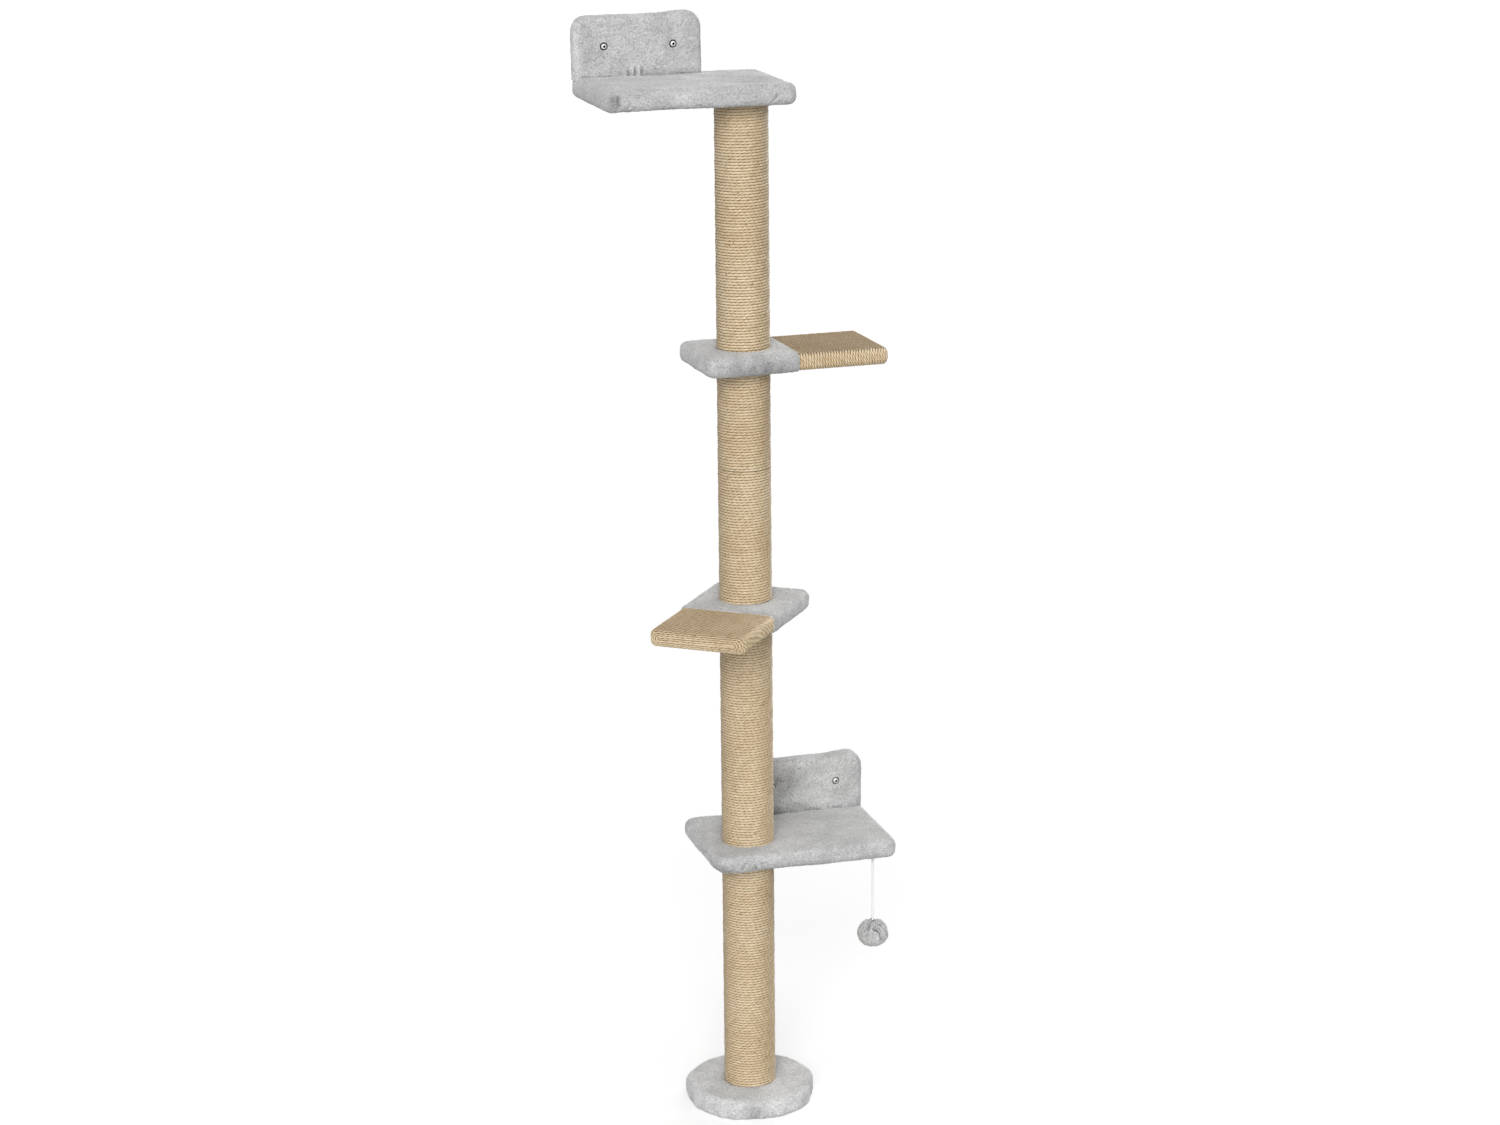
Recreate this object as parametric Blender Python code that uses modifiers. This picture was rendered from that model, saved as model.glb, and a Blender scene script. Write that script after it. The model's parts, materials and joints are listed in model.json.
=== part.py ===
"""Wall-mounted cat tree: four rope-wound posts stacked on a round base, two plush shelves with
wall plates, two half rope-wound steps and a ball that hangs on an elastic string."""

import math

import bmesh
import bpy
from mathutils import Vector

for old in list(bpy.data.objects):
    bpy.data.objects.remove(old, do_unlink=True)

# Driving dimensions, in metres

# Posts and their rope
post_diameter = 0.0900
post_tube_diameter = 0.0790
post_tube_wall = 0.0040
lower_post_length = 0.4215
middle_post_length = 0.4083
upper_post_length = 0.4178
rope_splice_height = 0.2330
rope_pitch = 0.0048
rope_bead_diameter = 0.0043
post_turns = 4

# Boards and their plush
board_thickness = 0.0200
board_corner_radius = 0.0100
pile_thickness = 0.0072
pile_edge_radius = 0.0115
pressed_cloth = 0.0018
seat_gap = 0.0003

# Round base
base_board_diameter = 0.2086
base_board_thickness = 0.0250
base_foot_radius = 0.0050

# Shelves with their wall plates
wall_distance = 0.1370
shelf_board_length = 0.3086
shelf_board_depth = 0.2120
low_shelf_end_to_post = 0.0718
top_shelf_end_to_post = 0.0633
plate_board_length = 0.2036
plate_board_height = 0.0970
plate_corner_radius = 0.0170

# Steps, plush round the post and rope on the long end
step_board_length = 0.3050
step_board_width = 0.1596
step_end_to_post = 0.0808
lower_step_seam = 0.0860
upper_step_seam = 0.0700
lower_step_turn = math.radians(-127.5)
upper_step_turn = math.radians(1.5)
step_rope_edge_radius = 0.0105
step_end_loops = 3

# Plastic plugs in the post ends
plug_flange = 0.0020
plug_depth = 0.0180
plug_hub = 0.0060
plug_skirt_share = 0.6

# Fasteners
stud_diameter = 0.0080
stud_reach = 0.0140
stud_chamfer = 0.0010
bolt_head_diameter = 0.0180
bolt_head_height = 0.0028
bolt_slit_length = 0.0150
bolt_slit_width = 0.0014
bolt_crown_share = 0.7
bolt_rim_share = 0.4
wall_screw_spacing = 0.1170
wall_screw_height = 0.0570
wall_screw_diameter = 0.0045
wall_screw_length = 0.0500
wall_screw_head_diameter = 0.0092
wall_screw_head_height = 0.0026
wall_screw_cloth = 0.0042
recess_width = 0.0014
recess_length = 0.0056
recess_depth = 0.0013
washer_diameter = 0.0128
washer_thickness = 0.0012
joining_screw_spacing = 0.1300
joining_screw_diameter = 0.0040
joining_screw_length = 0.0500
joining_screw_head_diameter = 0.0080
joining_screw_head_height = 0.0024
screw_tip = 0.0030
screw_crown_share = 0.6
screw_rim_share = 0.45

# Hanging toy
toy_side_inset = 0.0335
toy_front_inset = 0.0390
string_diameter = 0.0036
string_length = 0.1120
string_step_share = 2.5
ball_diameter = 0.0540
ball_height = 0.0500
ball_dimple_radius = 0.0050
ball_dimple_share = 0.04
ball_rings = 9
staple_wire_diameter = 0.0012
staple_width = 0.0110
staple_leg = 0.0230
staple_drop = 0.0052
staple_bend_share = 1.5
toy_loop_radius = 0.0035
toy_loop_thickness = 0.0026

# How far cutters run past what they cut, and how finely round shapes are divided
overrun = 0.0050
post_sides = 36
disc_sides = 32
tube_sides = 24
head_sides = 16
small_sides = 10
loop_points = 20
toy_loop_sides = 14
toy_loop_tube_sides = 6

bead_radius = rope_bead_diameter / 2

# Heights, stacked from the floor up
base_board_z = pressed_cloth
base_top_z = base_board_z + base_board_thickness
post_stack_step = pressed_cloth + seat_gap
post_1_z = base_top_z + post_stack_step
low_shelf_z = post_1_z + lower_post_length + post_stack_step
post_2_z = low_shelf_z + board_thickness + post_stack_step
lower_step_z = post_2_z + middle_post_length + post_stack_step
post_3_z = lower_step_z + board_thickness + post_stack_step
upper_step_z = post_3_z + middle_post_length + post_stack_step
post_4_z = upper_step_z + board_thickness + post_stack_step
top_shelf_z = post_4_z + upper_post_length + post_stack_step

model = bpy.data.collections.new("wall_mounted_cat_tree")
bpy.context.scene.collection.children.link(model)
cutters = bpy.data.collections.new("cutters")
bpy.context.scene.collection.children.link(cutters)


def material(name, colour, roughness, metallic=0.0):
    """A plain Principled material."""
    made = bpy.data.materials.new(name)
    made.use_nodes = True
    shader = made.node_tree.nodes["Principled BSDF"]
    shader.inputs["Base Color"].default_value = (*colour, 1.0)
    shader.inputs["Roughness"].default_value = roughness
    shader.inputs["Metallic"].default_value = metallic
    made.diffuse_color = (*colour, 1.0)
    return made


plush = material("grey_plush", (0.55, 0.55, 0.56), 0.95)
pile_ball = material("grey_plush_ball", (0.50, 0.50, 0.51), 0.95)
jute = material("natural_rope", (0.60, 0.45, 0.27), 0.9)
chipboard = material("chipboard", (0.50, 0.36, 0.21), 0.8)
cardboard = material("cardboard", (0.42, 0.30, 0.18), 0.85)
plastic = material("black_plastic", (0.03, 0.03, 0.03), 0.5)
zinc = material("zinc_plated_steel", (0.72, 0.72, 0.70), 0.3, 1.0)
elastic = material("white_elastic", (0.86, 0.86, 0.84), 0.8)


def level(name, height, turn=0.0):
    """An empty that carries everything fixed at one height."""
    empty = bpy.data.objects.new(name, None)
    empty.location = (0, 0, height)
    empty.rotation_euler = (0, 0, turn)
    empty.empty_display_size = post_diameter
    model.objects.link(empty)
    return empty


def add(name, mesh, finish, parent=None, location=(0, 0, 0), is_cutter=False):
    """An object of this mesh, in the model's collection or among the cutters."""
    made = bpy.data.objects.new(name, mesh)
    made.location = location
    made.parent = parent
    if is_cutter:
        made.hide_render = True
        made.display_type = "WIRE"
        cutters.objects.link(made)
        return made
    mesh.materials.clear()
    mesh.materials.append(finish)
    model.objects.link(made)
    return made


def smooth(mesh, angle=math.radians(40)):
    """Shade round faces smooth and keep real edges sharp."""
    mesh.shade_smooth()
    mesh.set_sharp_from_angle(angle=angle)


def box_mesh(name, low, high, corner=0.0, segments=3, upper_only=False):
    """A box between two corners; its upright corners, or its two top ones along Y, are rounded."""
    made = bmesh.new()
    bmesh.ops.create_cube(made, size=1.0)
    size = Vector(high) - Vector(low)
    bmesh.ops.scale(made, vec=size, verts=made.verts)
    bmesh.ops.translate(made, vec=(Vector(high) + Vector(low)) / 2, verts=made.verts)
    if corner:
        rounded = []
        for edge in made.edges:
            first, second = (vertex.co for vertex in edge.verts)
            run = second - first
            upright = abs(run.z) > abs(run.x) + abs(run.y)
            across_top = abs(run.y) > abs(run.x) + abs(run.z) and first.z > (low[2] + high[2]) / 2
            if across_top if upper_only else upright:
                rounded.append(edge)
        bmesh.ops.bevel(
            made, geom=rounded, offset=corner, segments=segments, profile=0.5, affect="EDGES"
        )
    mesh = bpy.data.meshes.new(name)
    made.to_mesh(mesh)
    made.free()
    return mesh


def round_rims(target, radius, segments=3):
    """Round the sharp rims that a slab's faces meet at."""
    bevel = target.modifiers.new("rims", "BEVEL")
    bevel.width = radius
    bevel.segments = segments
    bevel.limit_method = "ANGLE"
    bevel.angle_limit = math.radians(50)
    bevel.miter_outer = "MITER_SHARP"


def cut(target, *tools):
    """Cut each tool out of the target."""
    for tool in tools:
        boolean = target.modifiers.new("cut " + tool.name, "BOOLEAN")
        boolean.operation = "DIFFERENCE"
        boolean.solver = "EXACT"
        boolean.object = tool


def turned(
    name, outline, sides, finish=None, parent=None, location=(0, 0, 0), ring=False, is_cutter=False
):
    """A turned shape; the outline runs down its outer side and is closed into a ring if asked."""
    mesh = bpy.data.meshes.new(name)
    points = [(radius, 0, height) for radius, height in outline]
    edges = [(index, index + 1) for index in range(len(points) - 1)]
    if ring:
        edges.append((len(points) - 1, 0))
    mesh.from_pydata(points, edges, [])
    made = add(name, mesh, finish, parent, location, is_cutter)
    screw = made.modifiers.new("turn", "SCREW")
    screw.axis = "Z"
    screw.angle = math.tau
    screw.steps = sides
    screw.render_steps = sides
    screw.use_merge_vertices = True
    screw.merge_threshold = seat_gap / 30
    screw.use_smooth_shade = False
    return made


def rod_cutter(name, radius, low, high, parent, x=0.0, y=0.0, sides=small_sides):
    """An upright round cutter between two heights."""
    outline = [(0, high), (radius, high), (radius, low), (0, low)]
    return turned(name, outline, sides, None, parent, (x, y, 0), is_cutter=True)


def box_cutter(name, low, high, parent, corner=0.0, segments=2, upper_only=False):
    """A box-shaped cutter."""
    mesh = box_mesh(name, low, high, corner, segments, upper_only)
    return add(name, mesh, None, parent, is_cutter=True)


def tube_mesh(name, points, radius, bevel_resolution):
    """A round tube with closed ends along a list of points, as a mesh."""
    curve = bpy.data.curves.new(name, "CURVE")
    curve.dimensions = "3D"
    curve.bevel_depth = radius
    curve.bevel_resolution = bevel_resolution
    curve.use_fill_caps = True
    curve.twist_mode = "MINIMUM"
    spline = curve.splines.new("POLY")
    spline.points.add(len(points) - 1)
    for point, place in zip(spline.points, points):
        point.co = (*place, 1.0)
    holder = bpy.data.objects.new(name + "_line", curve)
    bpy.context.scene.collection.objects.link(holder)
    bpy.context.view_layer.update()
    shape = holder.evaluated_get(bpy.context.evaluated_depsgraph_get())
    mesh = bpy.data.meshes.new_from_object(shape)
    bpy.data.objects.remove(holder, do_unlink=True)
    bpy.data.curves.remove(curve)
    welded = bmesh.new()
    welded.from_mesh(mesh)
    bmesh.ops.remove_doubles(welded, verts=welded.verts, dist=seat_gap / 10)
    bmesh.ops.recalc_face_normals(welded, faces=welded.faces)
    welded.to_mesh(mesh)
    welded.free()
    mesh.name = name
    return mesh


def least_gap(points, thickness, skip):
    """The least distance between a wound tube's surfaces, away from its own neighbouring points."""
    least = None
    for index, here in enumerate(points):
        for there in points[index + skip:]:
            gap = math.dist(here, there) - thickness
            least = gap if least is None else min(least, gap)
    return least


# Winding on a post

rope_line_radius = post_diameter / 2 - rope_pitch / 2


def post_turn_points(turns):
    """Centre line of the first turns, level with the rope's own height at its start."""
    count = round(turns * loop_points)
    points = []
    for index in range(count + 1):
        angle = math.tau * index / loop_points
        x = rope_line_radius * math.cos(angle)
        y = rope_line_radius * math.sin(angle)
        points.append((x, y, bead_radius + rope_pitch * index / loop_points))
    start_run = (points[0][0], points[0][1] - rope_bead_diameter, points[0][2])
    last_angle = math.tau * count / loop_points
    end_run = (
        points[-1][0] - rope_bead_diameter * math.sin(last_angle),
        points[-1][1] + rope_bead_diameter * math.cos(last_angle),
        points[-1][2],
    )
    return [start_run] + points + [end_run]


turn_points = post_turn_points(post_turns)
turns_gap = least_gap(turn_points, rope_bead_diameter, loop_points // 2)
print("least gap of the post turns, mm:", round(1000 * turns_gap, 3))


def winding(name, z, length, turned_by=0.0):
    """The rope on a stretch of post: its first turns one by one, then the close-laid rest."""
    sleeve_start = post_turns * rope_pitch - rope_pitch / 20
    inner = post_tube_diameter / 2 + seat_gap
    outer = post_diameter / 2
    outline = [
        (outer, length),
        (outer, sleeve_start),
        (inner, sleeve_start),
        (inner, length),
    ]
    rope = turned(name, outline, post_sides, jute, None, (0, 0, z), ring=True)
    rope.rotation_euler = (0, 0, turned_by)
    mesh = tube_mesh(name + "_turns", turn_points, bead_radius, 1)
    turns = add(name + "_turns", mesh, None, rope, is_cutter=True)
    join = rope.modifiers.new("turns", "BOOLEAN")
    join.operation = "UNION"
    join.solver = "EXACT"
    join.object = turns
    return rope


def plug(name, z, upward):
    """A flanged plastic plug with a central bore; its body points into the post."""
    side = 1 if upward else -1
    lip_radius = post_tube_diameter / 2
    body_radius = post_tube_diameter / 2 - post_tube_wall - seat_gap
    bore_radius = stud_diameter / 2 + seat_gap
    outline = [
        (bore_radius, 0),
        (lip_radius, 0),
        (lip_radius, plug_flange),
        (body_radius, plug_flange),
        (body_radius, plug_depth * plug_skirt_share),
        (bore_radius + plug_hub, plug_depth * plug_skirt_share),
        (bore_radius + plug_hub, plug_depth),
        (bore_radius, plug_depth),
    ]
    points = [(radius, side * height) for radius, height in outline]
    if upward:
        points.reverse()
    return turned(name, points, head_sides, plastic, None, (0, 0, z), ring=True)


def post(number, z, length):
    """A cardboard tube with a plug in each end."""
    outer = post_tube_diameter / 2
    inner = outer - post_tube_wall
    low = plug_flange + seat_gap
    high = length - low
    outline = [(outer, high), (outer, low), (inner, low), (inner, high)]
    turned(f"post_{number}_tube", outline, tube_sides, cardboard, None, (0, 0, z), ring=True)
    plug(f"post_{number}_plug_lower", z, True)
    plug(f"post_{number}_plug_upper", z + length, False)


post(1, post_1_z, lower_post_length)
post(2, post_2_z, middle_post_length)
post(3, post_3_z, middle_post_length)
post(4, post_4_z, upper_post_length)
winding("rope_1", post_1_z, lower_post_length)
winding("rope_2", post_2_z, middle_post_length, math.radians(200))
winding("rope_3_lower", post_3_z, rope_splice_height, math.radians(100))
upper_stretch = middle_post_length - rope_splice_height - seat_gap
winding("rope_3_upper", post_3_z + rope_splice_height + seat_gap, upper_stretch, math.radians(-75))
winding("rope_4", post_4_z, upper_post_length, math.radians(150))

# Fasteners shared by the levels

bolt_radius = stud_diameter / 2
bore_radius = bolt_radius + seat_gap
seat_radius = post_diameter / 2 + seat_gap


def stud(name, z):
    """A double-ended stud that joins the posts above and below a board."""
    low = -post_stack_step - stud_reach
    high = board_thickness + post_stack_step + stud_reach
    outline = [
        (0, high),
        (bolt_radius - stud_chamfer, high),
        (bolt_radius, high - stud_chamfer),
        (bolt_radius, low + stud_chamfer),
        (bolt_radius - stud_chamfer, low),
        (0, low),
    ]
    return turned(name, outline, small_sides, zinc, None, (0, 0, z))


def screw_outline(head_radius, head_height, radius, length, tip):
    """Outline of a pan-head screw, its head's underside at zero and its shank pointing down."""
    return [
        (0, head_height),
        (head_radius * screw_crown_share, head_height),
        (head_radius, head_height * screw_rim_share),
        (head_radius, 0),
        (radius, 0),
        (radius, tip - length),
        (0, -length),
    ]


# Round base

base = level("base_level", base_board_z)
base_radius = base_board_diameter / 2
bolt_head_radius = bolt_head_diameter / 2
base_outline = [
    (0, base_board_thickness),
    (base_radius, base_board_thickness),
    (base_radius, 0),
    (0, 0),
]
base_board = turned("base_board", base_outline, disc_sides, chipboard, base)
cover_radius = base_radius + pile_thickness
cover_top = base_board_thickness + pile_thickness
cover_low = -pressed_cloth
base_cover_outline = [(0, cover_top)]
for index in range(3):
    turn = math.pi / 2 * index / 2
    base_cover_outline.append(
        (
            cover_radius - pile_edge_radius + pile_edge_radius * math.sin(turn),
            cover_top - pile_edge_radius + pile_edge_radius * math.cos(turn),
        )
    )
for index in range(3):
    turn = math.pi / 2 * index / 2
    base_cover_outline.append(
        (
            cover_radius - base_foot_radius + base_foot_radius * math.cos(turn),
            cover_low + base_foot_radius - base_foot_radius * math.sin(turn),
        )
    )
base_cover_outline.append((0, cover_low))
base_cover = turned("base_plush", base_cover_outline, disc_sides, plush, base)
hollow_high = base_board_thickness + seat_gap
base_hollow = rod_cutter(
    "base_hollow", base_radius + seat_gap, -seat_gap, hollow_high, base, sides=disc_sides
)
seat_low = base_board_thickness + pressed_cloth
above = cover_top + overrun
base_seat = rod_cutter("base_seat", seat_radius, seat_low, above, base, sides=post_sides)
base_bore = rod_cutter("base_bore", bore_radius, bolt_head_height, above, base)
head_seat_radius = bolt_head_radius + seat_gap
head_seat_high = bolt_head_height + seat_gap
base_counterbore = rod_cutter(
    "base_counterbore", head_seat_radius, -overrun, head_seat_high, base, sides=head_sides
)
base_cover_bore = rod_cutter("base_cover_bore", bore_radius, base_board_thickness / 2, above, base)
cut(base_cover, base_hollow, base_seat, base_cover_bore)
cut(base_board, base_counterbore, base_bore)
base_bolt_high = base_board_thickness + post_stack_step + stud_reach
base_bolt_outline = [
    (0, base_bolt_high),
    (bolt_radius - stud_chamfer, base_bolt_high),
    (bolt_radius, base_bolt_high - stud_chamfer),
    (bolt_radius, bolt_head_height),
    (bolt_head_radius, bolt_head_height),
    (bolt_head_radius, 0),
    (0, 0),
]
turned("base_bolt", base_bolt_outline, head_sides, zinc, base)


# Shelves

def plush_cover(name, low, high, parent, hollow, corner, upper_only=False):
    """A plush cover round a board, its cavity cut by the hollow tool."""
    mesh = box_mesh(name, low, high, corner, 3, upper_only)
    cover = add(name, mesh, plush, parent)
    round_rims(cover, pile_edge_radius)
    cut(cover, hollow)
    return cover


def grown(low, high, by):
    """A box's corners moved outwards."""
    return tuple(value - by for value in low), tuple(value + by for value in high)


def board_and_cover(name, low, high, parent):
    """A board and the plush cover that is pulled over it."""
    board_mesh = box_mesh(name + "_board", low, high, board_corner_radius, 2)
    board = add(name + "_board", board_mesh, chipboard, parent)
    inner_low, inner_high = grown(low, high, seat_gap)
    hollow = box_cutter(name + "_hollow", inner_low, inner_high, parent, board_corner_radius + seat_gap)
    outer_low, outer_high = grown(low, high, pile_thickness)
    corner = board_corner_radius + pile_thickness
    cover = plush_cover(name + "_plush", outer_low, outer_high, parent, hollow, corner)
    return board, cover


seat_low_top = -pressed_cloth
seat_high_base = board_thickness + pressed_cloth
cover_under = -pile_thickness
cover_over = board_thickness + pile_thickness


def post_seat_under(name, parent):
    """The pressed seat of the post below."""
    return rod_cutter(name, seat_radius, cover_under - overrun, seat_low_top, parent, sides=post_sides)


def post_seat_over(name, parent):
    """The pressed seat of the post above."""
    return rod_cutter(name, seat_radius, seat_high_base, cover_over + overrun, parent, sides=post_sides)


def stud_bore(name, parent):
    """The stud's clearance hole right through."""
    return rod_cutter(name, bore_radius, cover_under - overrun, cover_over + overrun, parent)


def wall_plate(name, parent, left, right, shelf_board, shelf_cover):
    """A plush-covered plate that stands on the shelf's back edge, with its four screws."""
    back = wall_distance - pile_thickness
    front = back - board_thickness
    foot = board_thickness + pressed_cloth + seat_gap
    top = foot + plate_board_height
    low = (left, front, foot)
    high = (right, back, top)
    board_mesh = box_mesh(name + "_board", low, high, plate_corner_radius, 3, True)
    board = add(name + "_board", board_mesh, chipboard, parent)
    inner_low = (left - seat_gap, front - seat_gap, foot - overrun)
    inner_high = (right + seat_gap, back + seat_gap, top + seat_gap)
    hollow = box_cutter(
        name + "_hollow", inner_low, inner_high, parent, plate_corner_radius + seat_gap, 3, True
    )
    sunk = pile_edge_radius + overrun
    outer_low = (left - pile_thickness, front - pile_thickness, foot - sunk)
    outer_high = (right + pile_thickness, back + pile_thickness, top + pile_thickness)
    cover = plush_cover(
        name + "_plush", outer_low, outer_high, parent, hollow, plate_corner_radius + pile_thickness, True
    )
    foot_low = (outer_low[0] - overrun, outer_low[1] - overrun, outer_low[2] - overrun)
    foot_high = (outer_high[0] + overrun, outer_high[1] + overrun, foot)
    cut(cover, box_cutter(name + "_foot", foot_low, foot_high, parent))
    seat_low = (outer_low[0] - seat_gap, outer_low[1] - seat_gap, seat_high_base)
    seat_high = (outer_high[0] + seat_gap, outer_high[1] + overrun, cover_over + overrun)
    cut(shelf_cover, box_cutter(name + "_seat", seat_low, seat_high, parent))
    middle_x = (left + right) / 2
    middle_y = (front + back) / 2
    for side, sign in (("left", -1), ("right", 1)):
        # Screw up through the shelf into the plate's lower edge
        x = middle_x + sign * joining_screw_spacing / 2
        radius = joining_screw_diameter / 2
        head = joining_screw_head_diameter / 2
        outline = screw_outline(head, joining_screw_head_height, radius, joining_screw_length, screw_tip)
        place = (x, middle_y, -seat_gap)
        joining = turned(f"{name}_joining_screw_{side}", outline, small_sides, zinc, parent, place)
        joining.rotation_euler = (math.pi, 0, 0)
        tall = joining_screw_length + seat_gap
        hole_name = f"{name}_joining_hole_{side}"
        hole = rod_cutter(hole_name, radius + seat_gap, -overrun, tall, parent, x, middle_y)
        dimple_name = f"{name}_joining_dimple_{side}"
        dimple = rod_cutter(dimple_name, head + seat_gap, cover_under - overrun, 0, parent, x, middle_y)
        cut(shelf_cover, hole, dimple)
        cut(shelf_board, hole)
        cut(board, hole)
        # Screw through the plate into the wall, on a washer that presses the pile
        x = middle_x + sign * wall_screw_spacing / 2
        z = board_thickness + wall_screw_height
        radius = wall_screw_diameter / 2
        head = wall_screw_head_diameter / 2
        washer_radius = washer_diameter / 2
        seat_y = front - wall_screw_cloth
        washer_outline = [
            (washer_radius, washer_thickness),
            (washer_radius, 0),
            (radius + seat_gap, 0),
            (radius + seat_gap, washer_thickness),
        ]
        place = (x, seat_y - seat_gap, z)
        washer_name = f"{name}_washer_{side}"
        washer = turned(washer_name, washer_outline, head_sides, plastic, parent, place, ring=True)
        washer.rotation_euler = (math.pi / 2, 0, 0)
        screw_y = seat_y - 2 * seat_gap - washer_thickness
        outline = screw_outline(head, wall_screw_head_height, radius, wall_screw_length, screw_tip)
        screw = turned(f"{name}_wall_screw_{side}", outline, small_sides, zinc, parent, (x, screw_y, z))
        screw.rotation_euler = (math.pi / 2, 0, 0)
        for number in (1, 2):
            slot_low = (-recess_length / 2, -recess_width / 2, wall_screw_head_height - recess_depth)
            slot_high = (recess_length / 2, recess_width / 2, wall_screw_head_height + overrun)
            slot = box_cutter(f"{name}_slot_{side}_{number}", slot_low, slot_high, screw)
            slot.rotation_euler = (0, 0, math.pi / 2 * number)
            cut(screw, slot)
        long_low = -(board_thickness + pile_thickness * 2 + overrun)
        hole = rod_cutter(f"{name}_wall_hole_{side}", radius + seat_gap, long_low, overrun, parent, x)
        hole.location = (x, seat_y, z)
        hole.rotation_euler = (math.pi / 2, 0, 0)
        dimple_name = f"{name}_wall_dimple_{side}"
        tall = pile_thickness + overrun
        dimple = rod_cutter(dimple_name, washer_radius + seat_gap, 0, tall, parent, sides=head_sides)
        dimple.location = (x, seat_y, z)
        dimple.rotation_euler = (math.pi / 2, 0, 0)
        cut(cover, hole, dimple)
        cut(board, hole)


def shelf(name, z, end_to_post, long_side):
    """A shelf whose long side points along X to the left (-1) or the right (1)."""
    parent = level(name + "_level", z)
    near = -long_side * end_to_post
    far = near + long_side * shelf_board_length
    back = wall_distance - pile_thickness
    low = (min(near, far), back - shelf_board_depth, 0)
    high = (max(near, far), back, board_thickness)
    board, cover = board_and_cover(name, low, high, parent)
    cut(cover, post_seat_under(name + "_seat_under", parent))
    bore = stud_bore(name + "_bore", parent)
    cut(cover, bore)
    cut(board, bore)
    inner = far - long_side * plate_board_length
    wall_plate(name + "_plate", parent, min(inner, far), max(inner, far), board, cover)
    return parent, board, cover, low, high


low_level, low_board, low_cover, low_corner, high_corner = shelf(
    "low_shelf", low_shelf_z, low_shelf_end_to_post, 1
)
cut(low_cover, post_seat_over("low_shelf_seat_over", low_level))
stud("stud_low_shelf", low_shelf_z)
top_level, top_board, top_cover, _, _ = shelf("top_shelf", top_shelf_z, top_shelf_end_to_post, -1)
bolt_rest = seat_high_base + seat_gap
bolt_seat_high = bolt_rest + bolt_head_height + seat_gap
top_head_seat = rod_cutter(
    "top_bolt_seat", head_seat_radius, seat_high_base, bolt_seat_high, top_level, sides=head_sides
)
# The cloth closes over the bolt but for the slit that its key went through
slit_low = (-bolt_slit_length / 2, -bolt_slit_width / 2, bolt_rest)
slit_high = (bolt_slit_length / 2, bolt_slit_width / 2, cover_over + overrun)
top_slit = box_cutter("top_bolt_slit", slit_low, slit_high, top_level)
cut(top_cover, top_head_seat, top_slit)
top_bolt_outline = [
    (0, bolt_rest + bolt_head_height),
    (bolt_head_radius * bolt_crown_share, bolt_rest + bolt_head_height),
    (bolt_head_radius, bolt_rest + bolt_head_height * bolt_rim_share),
    (bolt_head_radius, bolt_rest),
    (bolt_radius, bolt_rest),
    (bolt_radius, -post_stack_step - stud_reach + stud_chamfer),
    (bolt_radius - stud_chamfer, -post_stack_step - stud_reach),
    (0, -post_stack_step - stud_reach),
]
turned("top_bolt", top_bolt_outline, head_sides, zinc, top_level)


# Steps

def step(name, z, turn, seam):
    """A step: plush sleeve round the post end of the board, rope wound on the long end."""
    parent = level(name + "_level", z, turn)
    left = -step_end_to_post
    right = left + step_board_length
    half = step_board_width / 2
    low = (left, -half, 0)
    high = (right, half, board_thickness)
    board, cover = board_and_cover(name, low, high, parent)
    bore = stud_bore(name + "_bore", parent)
    past = right + pile_thickness + overrun
    beyond_low = (seam - seat_gap / 2, -half - pile_thickness - overrun, cover_under - overrun)
    beyond_high = (past, half + pile_thickness + overrun, cover_over + overrun)
    beyond = box_cutter(name + "_past_seam", beyond_low, beyond_high, parent)
    cut(
        cover,
        beyond,
        post_seat_under(name + "_seat_under", parent),
        post_seat_over(name + "_seat_over", parent),
        bore,
    )
    cut(board, bore)
    stud("stud_" + name, z)
    # The close-laid rope: a sock of one rope's thickness, open towards the seam
    rope_low = (left - rope_pitch, -half - rope_pitch, -rope_pitch)
    rope_high = (right + seat_gap * 2, half + rope_pitch, board_thickness + rope_pitch)
    corner = board_corner_radius + rope_pitch
    rope = add(name + "_rope", box_mesh(name + "_rope", rope_low, rope_high, corner, 3), jute, parent)
    round_rims(rope, step_rope_edge_radius)
    hollow_low = (left - overrun * 2, -half - seat_gap, -seat_gap)
    hollow_high = (right + rope_pitch + overrun, half + seat_gap, board_thickness + seat_gap)
    before_low = (left - rope_pitch - overrun, -half - rope_pitch - overrun, -rope_pitch - overrun)
    past = rope_pitch + overrun
    before_high = (seam + seat_gap / 2, half + past, board_thickness + past)
    cut(
        rope,
        box_cutter(name + "_rope_hollow", hollow_low, hollow_high, parent),
        box_cutter(name + "_before_seam", before_low, before_high, parent),
    )
    # The end face: one rope coiled flat, each loop inside the last
    face_x = right + seat_gap * 3 + bead_radius
    middle_z = board_thickness / 2
    outer_up = board_thickness / 2 + rope_pitch / 2
    outer_side = half - board_corner_radius / 2
    points = []
    quarter = loop_points // 4
    for index in range((step_end_loops - 1) * loop_points + quarter):
        share = index / loop_points
        up = outer_up - rope_pitch * share
        side = outer_side - rope_pitch * share
        ring = index % loop_points
        angle = math.tau * ring / loop_points
        straight = side - up
        on_middle = ring in (quarter, 3 * quarter)
        turn_y = 0.0 if on_middle else math.copysign(straight, math.cos(angle))
        points.append((face_x, turn_y + up * math.cos(angle), middle_z + up * math.sin(angle)))
    gap = least_gap(points, rope_bead_diameter, loop_points // 2)
    print(f"least gap of the coil on {name}, mm:", round(1000 * gap, 3))
    coil = tube_mesh(name + "_rope_end", points, bead_radius, 1)
    add(name + "_rope_end", coil, jute, parent)


step("lower_step", lower_step_z, lower_step_turn, lower_step_seam)
step("upper_step", upper_step_z, upper_step_turn, upper_step_seam)

# Hanging toy under the low shelf's front corner

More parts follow.
